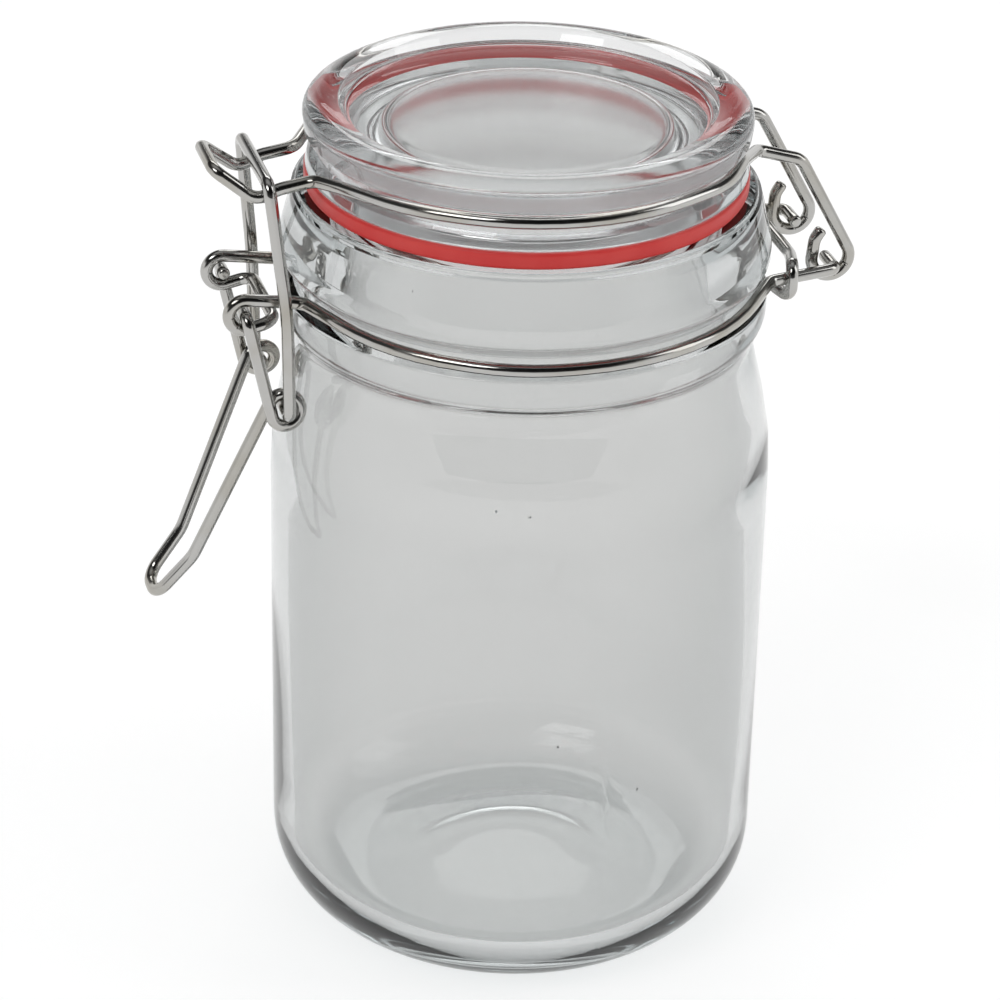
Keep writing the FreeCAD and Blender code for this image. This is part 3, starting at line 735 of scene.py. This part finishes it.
@dataclass
class JarGlass:
    """The jar: ring foot, straight wall, shoulder, waist, bead, wire groove, neck and rim."""

    outside: tuple[Triple, ...] = (
        (0.0, 1.6, 0.0), (14.0, 1.6, 30.0), (25.6, 0.0, 3.0), (42.5, 0.0, 15.1),
        (42.5, 92.0, 62.0), (37.9, 110.9, 4.0), (40.5, 114.2, 5.0), (40.5, 118.7, 0.6),
        (38.45, 119.25, 0.2), (38.45, 121.9, 0.2), (40.8, 124.6, 2.0), (40.8, 127.0, 5.0),
        (38.75, 135.2, 0.12), (38.2, 135.45, 0.15), (38.2, 136.25, 0.6), (35.8, 136.25, 0.1))
    inside: tuple[Triple, ...] = (
        (35.8, 136.25, 0.1), (33.4, 136.25, 0.6), (33.4, 116.5, 12.0), (39.2, 92.0, 31.0),
        (39.2, 5.4, 11.0), (0.0, 5.4, 0.0))
    run_step: float = 2.2
    around: int = 256
    calm_radius: float = 10.0
    neck_from: float = 119.0
    body_seam: float = math.radians(275.4)
    body_seam_band: Corner = (8.0, 16.0, 78.0, 24.0)
    neck_seam: float = math.radians(256.8)
    neck_seam_band: Corner = (124.6, 1.5, 134.0, 3.0)
    seam_height: float = 0.05
    seam_width: float = 0.35
    seam_radius: float = 42.0
    seam_reach: float = 0.016
    seam_angles: int = 9
    unevenness: float = 0.32
    uneven_band: Corner = (8.0, 20.0, 130.0, 14.0)
    waves: tuple[Triple, ...] = ((0.5, 2.0, 30.0), (0.3, 5.0, -17.0), (0.2, 3.0, 11.0))
    bubbles: tuple[Corner, ...] = (
        (248.2, 94.0, 0.22, 0.3), (264.0, 52.0, 0.18, 0.25), (284.0, 41.0, 0.15, 0.3),
        (70.0, 52.0, 0.2, 0.4), (112.0, 88.0, 0.18, 0.3))
    bubbles_narrow_from: float = 92.0
    bubble_reach: Pair = (41.0, 37.0)

    def angles(self) -> Array:
        """Even angles, with closer ones beside each mould seam.

        Returns:
            The angles in radians, rising.
        """
        seams = np.array([self.body_seam, self.neck_seam])
        seams = np.concatenate([seams, seams + math.pi]) % FULL_TURN
        beside = np.linspace(-self.seam_reach, self.seam_reach, self.seam_angles)
        close = seams[:, None] + beside[None, :]
        every = np.concatenate([even_angles(self.around), close.ravel() % FULL_TURN])
        return np.unique(np.round(every, decimals=5))

    def swell(self, outer: Array, inner: Array) -> Callable[[Array, Array], Array]:
        """How far each point lies out from the turned shape.

        Outside, each mould seam is a ridge h exp(-(d / w)^2), with d the distance round the
        jar from the seam.  Inside, the wall is uneven by u w(z) times the sum of
        share * sin(lobes * a + z / climb) over the waves, where w fades out at floor and neck.

        Args:
            outer: the outside profile.
            inner: the inside profile.

        Returns:
            The swell as a function of angles and profile point numbers.
        """
        radius, height = np.concatenate([outer, inner]).T

        def lift(angle: Array, number: Array) -> Array:
            """The swell at some points.

            Args:
                angle: their angles, in radians.
                number: their numbers in the profile.

            Returns:
                How far out each lies, with no swell on the axis.
            """
            z = height[number]
            seam = np.where(z > self.neck_from, self.neck_seam, self.body_seam)
            turned = np.mod(angle - seam + math.pi / 2.0, math.pi) - math.pi / 2.0
            away = np.abs(turned) * self.seam_radius
            bands = within(z, self.body_seam_band) + within(z, self.neck_seam_band)
            ridge = self.seam_height * np.exp(-(away / self.seam_width) ** 2) * bands
            wave = sum(share * np.sin(lobes * angle + z / climb)
                       for share, lobes, climb in self.waves)
            uneven = self.unevenness * wave * within(z, self.uneven_band)
            calm = np.clip(radius[number] / self.calm_radius, 0.0, 1.0)
            return np.where(number < len(outer), ridge, uneven) * calm

        return lift

    def seeds(self) -> list[Shape]:
        """The gas bubbles, each given by angle in degrees, height, and half width and height.

        Returns:
            One shape for each bubble, in the middle of the wall.
        """
        shapes = []
        for angle, height, across, tall in self.bubbles:
            turn = math.radians(angle)
            reach = self.bubble_reach[height >= self.bubbles_narrow_from]
            centre = np.array([reach * math.cos(turn), reach * math.sin(turn), height])
            shapes.append(seed_bubble(centre, np.array([across, across, tall])))
        return shapes

    def build(self, finish: bpy.types.Material) -> bpy.types.Object:
        """The jar's glass with its seams and bubbles.

        Args:
            finish: the jar's glass.

        Returns:
            The piece.
        """
        outer = rounded_profile(self.outside, GLASS_ARC_STEP, self.run_step)
        inner = rounded_profile(self.inside, GLASS_ARC_STEP, self.run_step)[1:]
        shape = turned_surface(np.concatenate([outer, inner]), self.angles(),
                               self.swell(outer, inner), False)
        thing = piece("pressed_jar", joined([shape, *self.seeds()]), finish)
        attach(thing, "jar")
        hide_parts("jar_glass")
        return thing


@dataclass
class GlassLid:
    """The lid: skirt, wire groove, flange, crest round a shallow dish, and centring plug."""

    section: tuple[Triple, ...] = (
        (0.0, 142.6, 0.0), (23.6, 142.6, 2.0), (25.8, 133.45, 1.2), (29.0, 133.45, 1.2),
        (30.3, 139.05, 0.15), (36.6, 139.05, 0.6), (36.1, 141.3, 0.6), (34.85, 142.9, 0.15),
        (34.85, 145.2, 0.15), (36.6, 145.6, 0.6), (37.0, 149.3, 1.7), (33.8, 151.0, 4.4),
        (31.0, 150.2, 0.6), (29.8, 148.5, 1.2), (0.0, 148.5, 0.0))
    run_step: float = 1.6
    around: int = 288
    unevenness: float = 0.10
    uneven_below: float = 143.0
    uneven_ring: Pair = (1.0, 28.0)

    def build(self, finish: bpy.types.Material) -> bpy.types.Object:
        """The lid's glass; its underside is uneven by u (sin(2 a + 1) + sin(3 a)) / 2.

        Args:
            finish: the lid's glass.

        Returns:
            The piece.
        """
        profile = rounded_profile(self.section, GLASS_ARC_STEP, self.run_step)
        radius, height = profile.T
        low = ((height < self.uneven_below) & (radius > self.uneven_ring[0])
               & (radius < self.uneven_ring[1]))

        def lift(angle: Array, number: Array) -> Array:
            """The swell at these angles and point numbers."""
            wave = np.sin(2.0 * angle + 1.0) + np.sin(3.0 * angle)
            return self.unevenness * 0.5 * wave * low[number]

        shape = turned_surface(profile, even_angles(self.around), lift, False)
        thing = piece("pressed_lid", shape, finish)
        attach(thing, "lid")
        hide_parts("lid_glass")
        return thing


@dataclass
class RubberSeal:
    """The flat rubber ring, pressed slightly out at its edge."""

    bore: float = 30.9
    radius: float = 36.8
    low: float = 136.3
    high: float = 139.01
    rounding: float = 0.5
    arc_step: float = math.radians(15.0)
    run_step: float = 0.8
    around: int = 256
    pull: float = 0.12
    pull_reach: float = 0.7

    def build(self, finish: bpy.types.Material) -> bpy.types.Object:
        """The ring; its outer edge wanders by p ((sin 3 a + sin(7 a + 2)) / 2 - 1), inwards only.

        Args:
            finish: the seal's rubber.

        Returns:
            The piece.
        """
        middle = (self.low + self.high) / 2.0
        section = tuple((radius, height, self.rounding) for radius, height in (
            (self.radius, middle), (self.radius, self.high), (self.bore, self.high),
            (self.bore, self.low), (self.radius, self.low), (self.radius, middle)))
        loop = rounded_profile(section, self.arc_step, self.run_step)[:-1]
        edge = loop[:, 0] > self.radius - self.pull_reach

        def lift(angle: Array, number: Array) -> Array:
            """The swell at these angles and point numbers."""
            wave = np.sin(3.0 * angle) + np.sin(7.0 * angle + 2.0)
            return self.pull * (0.5 * wave - 1.0) * edge[number]

        shape = turned_surface(loop, even_angles(self.around), lift, True)
        thing = piece("rubber_seal", shape, finish)
        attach(thing, "lid")
        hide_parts("seal_ring")
        return thing


# ------------------------------------------------------------------ bent wires

@dataclass
class BentWire:
    """A wire given by the corner points of its middle line; -y is the near side."""

    corners: list[Corner] = field(default_factory=list)

    @classmethod
    def from_pin(cls, place: Pair, end: float, legs: float) -> BentWire:
        """A wire that starts with a pin along Y at (X, Z), and bends where its legs are."""
        return cls().to(place[0], end, place[1]).to(place[0], legs, place[1], PIN_BEND)

    def to(self, across: float, spread: float, height: float, bend: float = 0.0) -> BentWire:
        """Add one corner at (across, -spread, height) with its bend radius."""
        self.corners.append((across, -spread, height, bend))
        return self

    def eye(self, centre: Pair, radius: float, start: float, end: float, spreads: Pair,
            steps: int) -> BentWire:
        """Add the corners of an arc in an XZ plane, which touches each run in its middle.

        Corner k is at centre + radius / cos(step / 2) * (cos t, sin t), with t half a step
        past the k-th angle.

        Args:
            centre: X and Z of the centre.
            radius: radius of the wire's middle line.
            start: first angle in degrees, from +X towards +Z.
            end: last angle in degrees.
            spreads: distance from the XZ plane at the first and the last corner.
            steps: number of corners.

        Returns:
            This wire.
        """
        step = math.radians(end - start) / steps
        reach = radius / math.cos(step / 2.0)
        for number in range(steps):
            turn = math.radians(start) + (number + 0.5) * step
            spread = spreads[0] + (spreads[1] - spreads[0]) * number / max(steps - 1, 1)
            self.to(centre[0] + reach * math.cos(turn), spread,
                    centre[1] + reach * math.sin(turn), radius)
        return self

    def ring(self, radius: float, start: float, end: float, heights: Pair,
             steps: int) -> BentWire:
        """Add the corners of a ring's near side, between two angles in degrees from +X.

        Args:
            radius: radius of the wire's middle line.
            start: first angle.
            end: last angle.
            heights: height at the first and the last angle.
            steps: number of corners.

        Returns:
            This wire.
        """
        step = math.radians(end - start) / steps
        reach = radius / math.cos(step / 2.0)
        for number in range(steps):
            share = (number + 0.5) / steps
            turn = math.radians(start + share * (end - start))
            self.to(reach * math.cos(turn), reach * math.sin(turn),
                    heights[0] + share * (heights[1] - heights[0]), radius)
        return self

    def mirrored(self) -> BentWire:
        """This near half followed by the same corners on the far side, in reverse."""
        far = [(x, -y, z, bend) for x, y, z, bend in reversed(self.corners)]
        return BentWire(self.corners + far)

    def shape(self) -> Shape:
        """The wire's round surface.

        Returns:
            Vertices, faces and a map.
        """
        data = np.asarray(self.corners)
        radii = fitted_radii(data[:, :3], data[:, 3])
        return wire_surface(rounded_chain(data[:, :3], radii, WIRE_ARC_STEP, WIRE_RUN_STEP))


def touch_angle(centre: Pair, radius: float, outside: Pair, touch: Touch) -> float:
    """The angle in degrees at which a run to an outside point touches a circle.

    Args:
        centre: the circle's centre.
        radius: its radius.
        outside: the point that the run comes from or goes to.
        touch: which of the two touching points is meant.

    Returns:
        The outside point's own angle, plus or minus arccos(radius / its distance).
    """
    over, up = outside[0] - centre[0], outside[1] - centre[1]
    aside = touch.value * math.acos(radius / math.hypot(over, up))
    return math.degrees(math.atan2(up, over) + aside)


@dataclass
class NeckWire:
    """Hinge pins, ring round the neck, two eyes joined by a bar, and the tied end."""

    radius: float = 39.6
    height: float = 120.4
    rise: float = 0.7
    rise_from: float = 120.0
    hinge: float = 50.4
    pin_ends: Pair = (6.8, 12.7)
    rear_root: Pair = (37.9, 15.1)
    front_root: Triple = (-39.8, 8.95, 121.85)
    pivot: Pair = CLASP_PIVOT
    eye_radius: float = 2.6
    eye_spread: float = 8.95
    bar: Pair = (-44.4, 119.2)
    tie: float = 43.3
    tie_spread: float = 13.8
    tie_start: float = 0.6
    tie_bend: float = 9.0
    tie_bend_before: float = 4.0
    tie_gaps: Pair = (-0.05, 0.6)
    wrap: Triple = (1.75, 2.0, 0.4)
    wrap_bend: float = 2.0
    tail: Pair = (3.2, 2.3)

    def main_wire(self) -> BentWire:
        """The wire from one hinge pin round the neck and the clasp to the other pin.

        Returns:
            Both of its sides.
        """
        front = (self.front_root[0], self.front_root[2])
        rear = touch_angle(AXIS, self.radius, self.rear_root, Touch.ONWARD)
        leave = touch_angle(AXIS, self.radius, self.front_root[:2], Touch.BACK)
        start = touch_angle(self.pivot, self.eye_radius, front, Touch.ONWARD)
        end = TURN_DEGREES + touch_angle(self.pivot, self.eye_radius, self.bar, Touch.BACK)
        raised = self.height + self.rise
        wire = BentWire.from_pin((self.hinge, self.height), *self.pin_ends)
        wire.to(*self.rear_root, self.height, ROOT_BEND)
        wire.ring(self.radius, rear, self.rise_from, (self.height, self.height), steps=3)
        wire.ring(self.radius, self.rise_from, leave, (self.height, raised), steps=2)
        wire.to(*self.front_root, ROOT_BEND)
        wire.eye(self.pivot, self.eye_radius, start, end, (self.eye_spread,) * 2, steps=4)
        return wire.to(self.bar[0], self.eye_spread, self.bar[1], ROOT_BEND).mirrored()

    def tied_end(self) -> BentWire:
        """The end that crosses behind the neck and wraps once round the near rear arm.

        Returns:
            The whole end.
        """
        back, out, lift = self.wrap
        over = self.height + 2.0 * WIRE_RADIUS + self.tie_gaps[0]
        under = self.height - 2.0 * WIRE_RADIUS - self.tie_gaps[1]
        wire = BentWire()
        wire.to(self.tie, self.tie_start - self.tie_spread, over)
        wire.to(self.tie, self.tie_spread - self.tie_bend_before, over, self.tie_bend)
        for height in (over + lift, under - lift):
            wire.to(self.tie - back, self.tie_spread + out, height, self.wrap_bend)
        return wire.to(self.tie - self.tail[0], self.tie_spread - self.tail[1], under)

    def build(self, finish: bpy.types.Material) -> bpy.types.Object:
        """Both wires as one piece.

        Args:
            finish: the wire's steel.

        Returns:
            The piece.
        """
        shape = joined([self.main_wire().shape(), self.tied_end().shape()])
        thing = piece("neck_bail", shape, finish)
        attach(thing, "jar")
        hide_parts("neck_wire")
        return thing


@dataclass
class LidWire:
    """Rear hooks round the hinge pins, ring round the lid, and the nose at the front."""

    radius: float = 36.0
    height: float = 144.05
    hook_radius: float = 3.3
    hook_centre: Pair = (50.4, 121.3)
    hook_spread: float = 9.7
    hook_splay: float = 0.2
    hook_bend: float = 3.0
    tip_inset: float = 0.3
    tip_height: float = 124.8
    tip_end: Pair = (1.2, 1.9)
    rear: Pair = (44.1, 139.6)
    root: Triple = (36.4, 9.6, 141.8)
    entry_bend: float = 8.0
    drop: Corner = (-34.3, 12.4, 142.9, 12.0)
    nose: tuple[Corner, ...] = (
        (-37.5, 7.2, 142.3, 3.0), (-43.4, 7.2, 141.35, 6.0), (-46.85, 6.9, 139.65, 3.0),
        (-53.4, 5.5, 144.9, 1.9))

    def build(self, finish: bpy.types.Material) -> bpy.types.Object:
        """The whole wire as one piece.

        Args:
            finish: the wire's steel.

        Returns:
            The piece.
        """
        tip = (self.hook_centre[0] - self.hook_radius + self.tip_inset, self.tip_height)
        splayed = self.hook_spread + self.hook_splay
        enter = touch_angle(AXIS, self.radius, self.root[:2], Touch.ONWARD)
        leave = touch_angle(AXIS, self.radius, self.drop[:2], Touch.BACK)
        start = touch_angle(self.hook_centre, self.hook_radius, tip, Touch.ONWARD)
        end = TURN_DEGREES + touch_angle(self.hook_centre, self.hook_radius, self.rear,
                                         Touch.BACK)
        turn = math.radians(enter)
        wire = BentWire().to(tip[0] + self.tip_end[0], splayed, tip[1] + self.tip_end[1])
        wire.to(tip[0], splayed, tip[1], self.hook_bend)
        wire.eye(self.hook_centre, self.hook_radius, start, end, (self.hook_spread,) * 2,
                 steps=4)
        wire.to(self.rear[0], splayed, self.rear[1], self.hook_bend).to(*self.root, ROOT_BEND)
        wire.to(self.radius * math.cos(turn), self.radius * math.sin(turn), self.height,
                self.entry_bend)
        wire.ring(self.radius, enter, leave, (self.height, self.height), steps=4)
        for corner in (self.drop, *self.nose):
            wire.to(*corner)
        thing = piece("lid_bail", wire.mirrored().shape(), finish)
        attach(thing, "lid")
        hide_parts("lid_wire")
        return thing


@dataclass
class ClaspLever:
    """Pins through the neck wire's eyes, legs, coils, handle arms and a thumb lip."""

    pivot: Pair = CLASP_PIVOT
    coil: Pair = CLASP_COIL
    coil_radius: float = 2.5
    coil_turns: int = 2
    pin_end: float = 6.9
    legs: float = 11.2
    arms: float = 8.95
    lip: Pair = (-57.9, 75.4)
    lip_spread: float = 5.0
    lip_bend: float = 8.0
    lip_end: Corner = (-64.05, 3.5, 67.85, 3.3)

    def build(self, finish: bpy.types.Material) -> bpy.types.Object:
        """The whole lever as one piece; each coil leaves for the lip after its turns.

        Args:
            finish: the wire's steel.

        Returns:
            The piece.
        """
        arrive = touch_angle(self.coil, self.coil_radius, self.pivot, Touch.ONWARD)
        leave = touch_angle(self.coil, self.coil_radius, self.lip, Touch.BACK)
        leave += self.coil_turns * TURN_DEGREES
        wire = BentWire.from_pin(self.pivot, self.pin_end, self.legs)
        wire.eye(self.coil, self.coil_radius, arrive, leave, (self.legs, self.arms), steps=6)
        wire.to(self.lip[0], self.lip_spread, self.lip[1], self.lip_bend).to(*self.lip_end)
        thing = piece("lever_wire", wire.mirrored().shape(), finish)
        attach(thing, "lever")
        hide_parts("clasp_lever")
        return thing


@dataclass
class ClaspLink:
    """Pins in the lever's coils, legs, and the bar over the lid wire's nose."""

    coil: Pair = CLASP_COIL
    pin_end: float = 6.9
    legs: float = 13.5
    waist: Pair = (-43.4, 122.0)
    waist_bend: float = 40.0
    bar: Corner = (-45.6, 10.7, 143.6, 2.2)

    def build(self, finish: bpy.types.Material) -> bpy.types.Object:
        """The whole link as one piece.

        Args:
            finish: the wire's steel.

        Returns:
            The piece.
        """
        wire = BentWire.from_pin(self.coil, self.pin_end, self.legs)
        wire.to(self.waist[0], self.legs, self.waist[1], self.waist_bend).to(*self.bar)
        thing = piece("link_wire", wire.mirrored().shape(), finish)
        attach(thing, "link")
        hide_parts("clasp_link")
        return thing


# ------------------------------------------------------------------ studio

def aim(thing: bpy.types.Object, place: Array, target: Array, roll: float) -> None:
    """Put a lamp or camera at a place, looking at a target, rolled about its view.

    The axes are back = (place - target) / |place - target|, right = up x back and
    up = back x right, and right and up are turned by the roll.

    Args:
        thing: the object.
        place: its place, in metres.
        target: what it looks at.
        roll: angle in radians.
    """
    back = unit(place - target)
    right = unit(np.cross([0.0, 0.0, 1.0], back))
    upward = np.cross(back, right)
    turned_right = right * math.cos(roll) + upward * math.sin(roll)
    turned_up = upward * math.cos(roll) - right * math.sin(roll)
    matrix = np.identity(4)
    matrix[:3, :3] = np.stack([turned_right, turned_up, back], axis=1)
    matrix[:3, 3] = place
    thing.matrix_world = Matrix(matrix.tolist())
    bpy.context.scene.collection.objects.link(thing)


@dataclass(frozen=True)
class SoftLamp:
    """A rectangular lamp: its place and size in metres, and its power in watts."""

    name: str
    place: Triple
    size: Pair
    power: float

    def build(self, target: Array) -> None:
        """Put the lamp in its place.

        Args:
            target: what it faces, in metres.
        """
        light = bpy.data.lights.new(self.name, "AREA")
        light.shape = "RECTANGLE"
        light.size, light.size_y = self.size
        light.energy = self.power
        aim(bpy.data.objects.new(self.name, light), np.array(self.place), target, 0.0)


@dataclass(frozen=True)
class Viewpoint:
    """The camera's angles in degrees and distance in metres, and its lens in millimetres."""

    azimuth: float = -16.5
    elevation: float = 27.75
    roll: float = 1.49
    distance: float = 0.6387
    sensor: float = 36.0
    lens: float = 134.1
    shift: Pair = (-0.0189, -0.0194)

    def build(self, target: Array) -> None:
        """Put the camera on its azimuth and elevation round a target.

        Its direction from the target is (sin a cos e, -cos a cos e, sin e).

        Args:
            target: what it looks at, in metres.
        """
        azimuth, elevation = math.radians(self.azimuth), math.radians(self.elevation)
        back = np.array([math.sin(azimuth) * math.cos(elevation),
                         -math.cos(azimuth) * math.cos(elevation), math.sin(elevation)])
        camera = bpy.data.cameras.new("studio_camera")
        camera.sensor_width = self.sensor
        camera.lens = self.lens
        camera.shift_x, camera.shift_y = self.shift
        thing = bpy.data.objects.new("studio_camera", camera)
        aim(thing, target + self.distance * back, target, math.radians(self.roll))
        bpy.context.scene.camera = thing


@dataclass
class Studio:
    """A white floor, a white surround with a darker ceiling, soft lamps and the camera."""

    level: float = 0.66
    ceiling: float = 0.04
    zenith: float = 0.5
    ceiling_rise: Pair = (0.22, 0.42)
    ceiling_end: float = 0.8
    dark_side: Triple = (-0.25, -0.87, 0.42)
    dark_reach: Pair = (0.45, 0.80)
    floor_colour: float = 0.93
    floor_glow: float = 0.17
    floor_radius: float = 4.0
    floor_depth: float = 0.0001
    floor_grid: tuple[int, int] = (24, 64)
    middle: Triple = (0.0, 0.0, 0.08)
    seen: tuple[Ray, ...] = (Ray.CAMERA, Ray.GLOSSY, Ray.TRANSMISSION)
    lamps: tuple[SoftLamp, ...] = (
        SoftLamp("key_lamp", (-0.75, -0.55, 1.05), (0.6, 0.45), 3.6),
        SoftLamp("fill_lamp", (0.95, -0.35, 0.75), (0.5, 0.7), 2.2),
        SoftLamp("rear_lamp", (0.35, 1.0, 0.9), (0.7, 0.4), 2.2))

    def floor(self) -> None:
        """A round floor that keeps the shadow: point (r, a) is (r cos a, r sin a, -depth)."""
        rings, sides = self.floor_grid
        reach = np.linspace(0.0, 1.0, rings)[:, None] ** 2 * self.floor_radius
        turn = even_angles(sides)[None, :]
        grid = np.stack(np.broadcast_arrays(reach * np.cos(turn), reach * np.sin(turn),
                                            np.full((rings, sides), -self.floor_depth)), axis=-1)
        number = np.arange(rings * sides).reshape(rings, sides)
        number[0] = number[0, 0]
        shape = (grid.reshape(-1, 3) / MM, quads(number[::-1]), np.zeros((rings * sides, 2)))
        material, nodes = new_material("studio_floor")
        paint = nodes.add("ShaderNodeBsdfDiffuse", Color=grey(self.floor_colour))
        strength = nodes.math("MULTIPLY", nodes.met_by(*self.seen), self.floor_glow)
        glow = nodes.add("ShaderNodeEmission", Strength=strength)
        both = nodes.add("ShaderNodeAddShader")
        nodes.put(paint.outputs["BSDF"], both.inputs[0])
        nodes.put(glow.outputs["Emission"], both.inputs[1])
        nodes.add("ShaderNodeOutputMaterial", Surface=both.outputs["Shader"])
        piece("studio_floor", shape, material)

    def surround(self) -> None:
        """A level light for surfaces, and white for the rays that see it.

        Glossy rays see a darker ceiling too, and a darker patch on the dark side.
        """
        world = bpy.data.worlds.new("studio_surround")
        world.use_nodes = True
        bpy.context.scene.world = world
        nodes = Nodes(world.node_tree)
        place = nodes.add("ShaderNodeTexCoord").outputs["Generated"]
        split = nodes.add("ShaderNodeSeparateXYZ", Vector=place)
        low, high = self.ceiling_rise
        stops = ((0.0, 1.0), (low, 1.0), (high, self.ceiling), (self.ceiling_end, self.ceiling),
                 (1.0, self.zenith))
        rise = nodes.ramp(split.outputs["Z"], stops)
        facing = nodes.add("ShaderNodeVectorMath", operation="DOT_PRODUCT")
        nodes.put(place, facing.inputs[0])
        nodes.put(self.dark_side, facing.inputs[1])
        dark = nodes.add("ShaderNodeMapRange", interpolation_type="SMOOTHSTEP",
                         Value=facing.outputs["Value"], From_Min=self.dark_reach[0],
                         From_Max=self.dark_reach[1], To_Min=1.0, To_Max=self.ceiling)
        dimmed = nodes.math("MULTIPLY", rise, dark.outputs["Result"])
        seen_light = nodes.add("ShaderNodeBackground", Strength=1.0,
                               Color=nodes.blend(nodes.met_by(Ray.GLOSSY), WHITE, dimmed))
        even_light = nodes.add("ShaderNodeBackground", Strength=self.level, Color=WHITE)
        light = nodes.mix(nodes.met_by(*self.seen), even_light.outputs["Background"],
                          seen_light.outputs["Background"])
        nodes.add("ShaderNodeOutputWorld", Surface=light)

    def build(self) -> None:
        """Everything that is not part of the jar."""
        self.floor()
        self.surround()
        target = np.array(self.middle)
        for part in (*self.lamps, Viewpoint()):
            part.build(target)
        bpy.context.scene.view_settings.view_transform = "Standard"


def corners(box: object) -> list[list[float]]:
    """A box's two corners as plain lists."""
    return [[float(value) for value in corner] for corner in box]


def main() -> None:
    """Load the frame, build every piece on it, and set up the studio."""
    logging.basicConfig(level=logging.INFO, format="%(message)s")
    rays = bpy.context.scene.cycles
    rays.max_bounces = rays.transmission_bounces = GLASS_BOUNCES
    rays.transparent_max_bounces = GLASS_BOUNCES
    rays.glossy_bounces = METAL_BOUNCES
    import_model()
    marks = handling_marks()
    # The grey base tints and outline tints of both glasses are painted shade; the thickness tint
    # is the glass's own.
    jar_glass = PressedGlass("jar_glass_clear", (0.80, 0.80, 0.795), (0.42, 0.435, 0.435))
    lid_glass = PressedGlass("lid_glass_clear", (0.90, 0.90, 0.90), (0.78, 0.78, 0.78),
                             density=14.0, frost=0.17)
    wire = DrawnWire().material(marks)
    built = [
        JarGlass().build(jar_glass.material()),
        GlassLid().build(lid_glass.material()),
        RubberSeal().build(SealRubber().material(marks)),
        NeckWire().build(wire),
        LidWire().build(wire),
        ClaspLever().build(wire),
        ClaspLink().build(wire),
    ]
    for thing in built:
        LOG.info("%s: %d faces", thing.name, len(thing.data.polygons))
    Studio().build()


if __name__ == "__main__":
    main()
